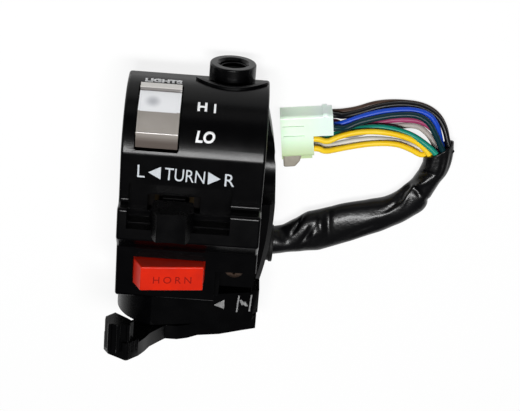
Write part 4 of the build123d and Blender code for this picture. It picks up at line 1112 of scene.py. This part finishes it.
@dataclass
class Harness:
    """The sleeve, its wires and the plug, lying on the floor beside the housing."""

    wire_radius: float = 0.98 * MM
    wire_stub: float = 1.6 * MM
    wire_facets: int = 5
    hidden_end: float = 2.7 * MM
    spline_steps: int = 12
    plug: Plug = field(default_factory=Plug)
    mouth: Mouth = field(default_factory=Mouth)
    latch: tuple[tuple[float, float], ...] = (
        (0.4, -6.9), (6.8, -6.9), (5.8, -9.6), (4.2, -11.4), (0.4, -11.4)
    )
    latch_levels: tuple[float, float] = (-4.2, 3.0)
    latch_edge: float = 0.6 * MM
    rib_place: tuple[float, float, float] = (4.2 * MM, 0.0, 5.1 * MM)
    rib_size: tuple[float, float, float] = (6.8 * MM, 0.9 * MM, 0.9 * MM)

    def length(self, route: list[Vector]) -> float:
        """Give the length of the smooth line that a route's points control."""
        return path_length(spline_points("wire_route", route, self.spline_steps))

    def wire(self, wire: WireRoute) -> None:
        """Lay one wire from the plug to the sleeve's mouth."""
        across, up = (value * MM for value in wire.slot)
        route = [
            self.plug.cell(*wire.cell, 0),
            self.plug.cell(*wire.cell, self.wire_stub),
            *[millimetres(*corner) for corner in wire.corners],
            self.mouth.at(across, up, 0),
            self.mouth.at(across, up, -self.hidden_end),
        ]
        node = "wire_" + wire.colour
        piece = spline_curve(node + "_cord", route, self.spline_steps)
        piece.data.bevel_depth = self.wire_radius
        piece.data.bevel_resolution = self.wire_facets
        piece.data.use_fill_caps = True
        piece.data.materials.append(look(node))
        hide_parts(node)
        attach(piece, "housing")
        self.length(route)

    def plug_ribs(self) -> None:
        """Lay the shallow keying ribs on the plug's upper face."""
        values = {
            "Count": 2,
            "Pitch": (0, self.plug.column_pitch, 0),
            "Size": self.rib_size,
            "Material": look("plug_mint"),
        }
        middle = Matrix.Translation(self.plug.at(*self.rib_place))
        turn = Matrix.Rotation(self.plug.turn, 4, "Z")
        piece = grown("plug_ribs", rib_tree(), values, middle @ turn)
        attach(piece, "housing")

    def plug_latch(self) -> None:
        """Hang the locking latch on the plug's lower side, in a brown-grey that is painted shade.
        """
        shape = bmesh.new()
        low, high = (
            [shape.verts.new(self.plug.at(x * MM, y * MM, level * MM)) for x, y in self.latch]
            for level in self.latch_levels
        )
        shape.faces.new(low)
        shape.faces.new(high)
        for place in range(len(low)):
            beside = (place + 1) % len(low)
            shape.faces.new((low[place], low[beside], high[beside], high[place]))
        bmesh.ops.recalc_face_normals(shape, faces=shape.faces)
        piece = from_shape("plug_latch", shape)
        soften(piece, self.latch_edge, 3)
        piece.data.materials.append(look("latch_brown"))
        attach(piece, "housing")

    def build(self) -> None:
        """Lay the sleeve, every wire, the plug and the grommet."""
        Sleeve(self.mouth).build()
        for wire in WIRES:
            self.wire(wire)
        Skin("connector_housing", "plug_mint", 0.5).build()
        self.plug_ribs()
        self.plug_latch()
        Skin("harness_grommet", "rubber_black", 0.25, 2).build()


# Housing and controls


@dataclass
class Housing:
    """The two shells with their screws, and everything hidden inside them."""

    boss_x: float = 10.3 * MM
    boss_z: float = -5.5 * MM
    boss_top: float = 33.2 * MM
    thread_radius: float = 4.4 * MM
    thread_depth: float = 9.4 * MM
    thread_turns: float = 7.0
    thread_ridge: float = 0.34 * MM

    def build(self) -> None:
        """Dress the shells and give the hidden nodes their finishes."""
        for skin in (
            Skin("front_shell", "housing_black", 0.3),
            Skin("rear_shell", "housing_black", 0.3),
            Skin("choke_housing", "choke_black", 0.5),
            Skin("housing_screws", "screw_worn", 0.15, 2, slot="screw_black"),
            Skin("choke_screws", "screw_black", 0.15, 2),
        ):
            skin.build()
        self.boss_thread()
        for node, slot in SLOT_OF.items():
            part = FRAME["nodes"][node]
            part.data.materials.clear()
            part.data.materials.append(look("brass_dull" if node == "turn_contacts" else slot))

    def boss_thread(self) -> None:
        """Wind the thread inside the mirror boss."""
        values = {
            "Radius": self.thread_radius,
            "Height": self.thread_depth,
            "Turns": self.thread_turns,
            "Ridge": self.thread_ridge,
            "Material": look("thread_black"),
        }
        low = Vector((self.boss_x, self.boss_top - self.thread_depth, self.boss_z))
        place = Matrix.Translation(low) @ Matrix.Rotation(-pi / 2, 4, "X")
        piece = grown("boss_thread", thread_tree(), values, place)
        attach(piece, "housing")


class Controls:
    """The rocker, the knob, the horn button and the choke lever."""

    def build(self) -> None:
        """Dress every control."""
        for skin in (
            Skin("dimmer_rocker", "rocker_grey", 0.3),
            Skin("turn_knob", "lever_black", 0.35),
            Skin("horn_button", "horn_red", 0.3),
            Skin("choke_lever", "lever_black", 0.45),
        ):
            skin.build()


# Studio


@dataclass(frozen=True)
class Lamp:
    """A soft box that faces the cluster: its place and size in metres, and its power in watts."""

    name: str
    place: Point
    size: tuple[float, float]
    power: float


LAMPS = (
    Lamp("top_box", (0.02, 0.05, 0.62), (0.34, 0.10), 4.5),
    Lamp("left_box", (-0.7, 0.1, 0.35), (0.3, 0.5), 0.5),
    Lamp("back_box", (0.1, 0.75, 0.2), (0.9, 0.25), 0.3),
)


@dataclass
class Studio:
    """Floor, lamps, world and camera."""

    target: Vector = field(default_factory=lambda: millimetres(22.45, -12.146, 0))
    lit: Vector = field(default_factory=lambda: millimetres(10, 0, 0))
    distance: float = 470 * MM
    tilt: float = radians(25.0)
    azimuth: float = radians(-2.0)
    roll: float = radians(5.0)
    focal_pixels: float = 1433.6
    picture_width: float = 520.0
    sensor: float = 36.0
    clip: tuple[float, float] = (0.01, 10.0)
    mirrored: float = 0.06
    ambient: float = 0.05
    floor_size: float = 1.6
    floor_glow: float = 0.85

    def seen_share(self, graph: Graph) -> Node:
        """Build the share in which a background shows as white.

        It is whole to the camera and through glass, and low in mirroring surfaces.

        Args:
            graph: The tree of the floor's or the world's nodes.

        Returns:
            The node whose output is the share.
        """
        rays = graph.add("ShaderNodeLightPath")
        mirror = graph.add("ShaderNodeMath", {1: self.mirrored}, operation="MULTIPLY")
        straight = graph.add("ShaderNodeMath", operation="MAXIMUM")
        either = graph.add("ShaderNodeMath", operation="MAXIMUM")
        graph.join(
            (rays, "Is Glossy Ray", mirror, 0), (rays, "Is Camera Ray", straight, 0),
            (rays, "Is Transmission Ray", straight, 1), (mirror, 0, either, 0),
            (straight, 0, either, 1),
        )
        return either

    def floor(self) -> None:
        """Make the pale floor, which shows nearly white and keeps the shadow."""
        size = self.floor_size
        corners = [(x * size, y * size, FLOOR) for x, y in ((-1, -1), (1, -1), (1, 1), (-1, 1))]
        mesh = bpy.data.meshes.new("floor")
        mesh.from_pydata(corners, [], [(0, 1, 2, 3)])
        thing = linked("floor", mesh)
        material = bpy.data.materials.new("floor")
        material.use_nodes = True
        graph = Graph(material.node_tree)
        shader, leave = (graph.tree.nodes[name] for name in ("Principled BSDF", "Material Output"))
        fill(shader, {"Base Color": (0.9, 0.9, 0.9, 1), "Roughness": 0.9})
        glow = graph.add("ShaderNodeEmission")
        share = graph.add("ShaderNodeMath", {1: self.floor_glow}, operation="MULTIPLY")
        blend = graph.add("ShaderNodeMixShader")
        graph.join(
            (self.seen_share(graph), 0, share, 0), (share, 0, blend, 0), (shader, 0, blend, 1),
            (glow, 0, blend, 2), (blend, 0, leave, "Surface"),
        )
        thing.data.materials.append(material)

    def lamp(self, lamp: Lamp) -> None:
        """Hang a soft box and turn it to the cluster."""
        light = bpy.data.lights.new(lamp.name, "AREA")
        light.shape = "RECTANGLE"
        light.size, light.size_y = lamp.size
        light.energy = lamp.power
        thing = linked(lamp.name, light)
        thing.location = lamp.place
        thing.rotation_euler = (self.lit - Vector(lamp.place)).to_track_quat("-Z", "Y").to_euler()

    def world(self) -> None:
        """Surround the scene with even grey light, white where the camera sees it."""
        world = bpy.data.worlds.new("studio")
        bpy.context.scene.world = world
        world.use_nodes = True
        graph = Graph(world.node_tree)
        dim, leave = (graph.tree.nodes[name] for name in ("Background", "World Output"))
        fill(dim, {"Color": (0.95, 0.97, 1.0, 1), "Strength": self.ambient})
        bright = graph.add("ShaderNodeBackground")
        blend = graph.add("ShaderNodeMixShader")
        graph.join(
            (self.seen_share(graph), 0, blend, 0), (dim, 0, blend, 1), (bright, 0, blend, 2),
            (blend, 0, leave, "Surface"),
        )

    def camera(self) -> None:
        """Set the camera at the photograph's distance, tilt and roll."""
        data = bpy.data.cameras.new("camera")
        data.sensor_width = self.sensor
        data.lens = self.focal_pixels * self.sensor / self.picture_width
        data.clip_start, data.clip_end = self.clip
        level, azimuth = cos(self.tilt), self.azimuth
        back = Vector((sin(azimuth) * level, sin(self.tilt), cos(azimuth) * level))
        along = Vector((0, 1, 0)).cross(back).normalized()
        level_up = back.cross(along)
        right = along * cos(self.roll) + level_up * sin(self.roll)
        up = level_up * cos(self.roll) - along * sin(self.roll)
        turned = Matrix((right, up, back)).transposed().to_4x4()
        thing = linked("camera", data)
        thing.matrix_world = Matrix.Translation(self.target + back * self.distance) @ turned
        bpy.context.scene.camera = thing

    def build(self) -> None:
        """Build the whole studio."""
        self.floor()
        self.world()
        for lamp in LAMPS:
            self.lamp(lamp)
        self.camera()
        bpy.context.scene.view_settings.view_transform = "Standard"


def main() -> None:
    """Build the looks of the cluster, piece by piece."""
    logging.basicConfig(level=logging.INFO, format="%(name)s: %(message)s")
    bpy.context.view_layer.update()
    for part in (Studio(), Housing(), Controls(), Harness(), Legends()):
        part.build()
        LOG.info("built %s", type(part).__name__)


if __name__ == "__main__":
    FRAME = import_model()
    BODIES = FRAME["record"]["behaviour"]["bodies"]
    BODY_OF = {node: body for body, nodes in BODIES.items() for node in nodes}
    SLOT_OF = {part["node"]: part["material_slot"] for part in FRAME["record"]["subparts"]}
    main()
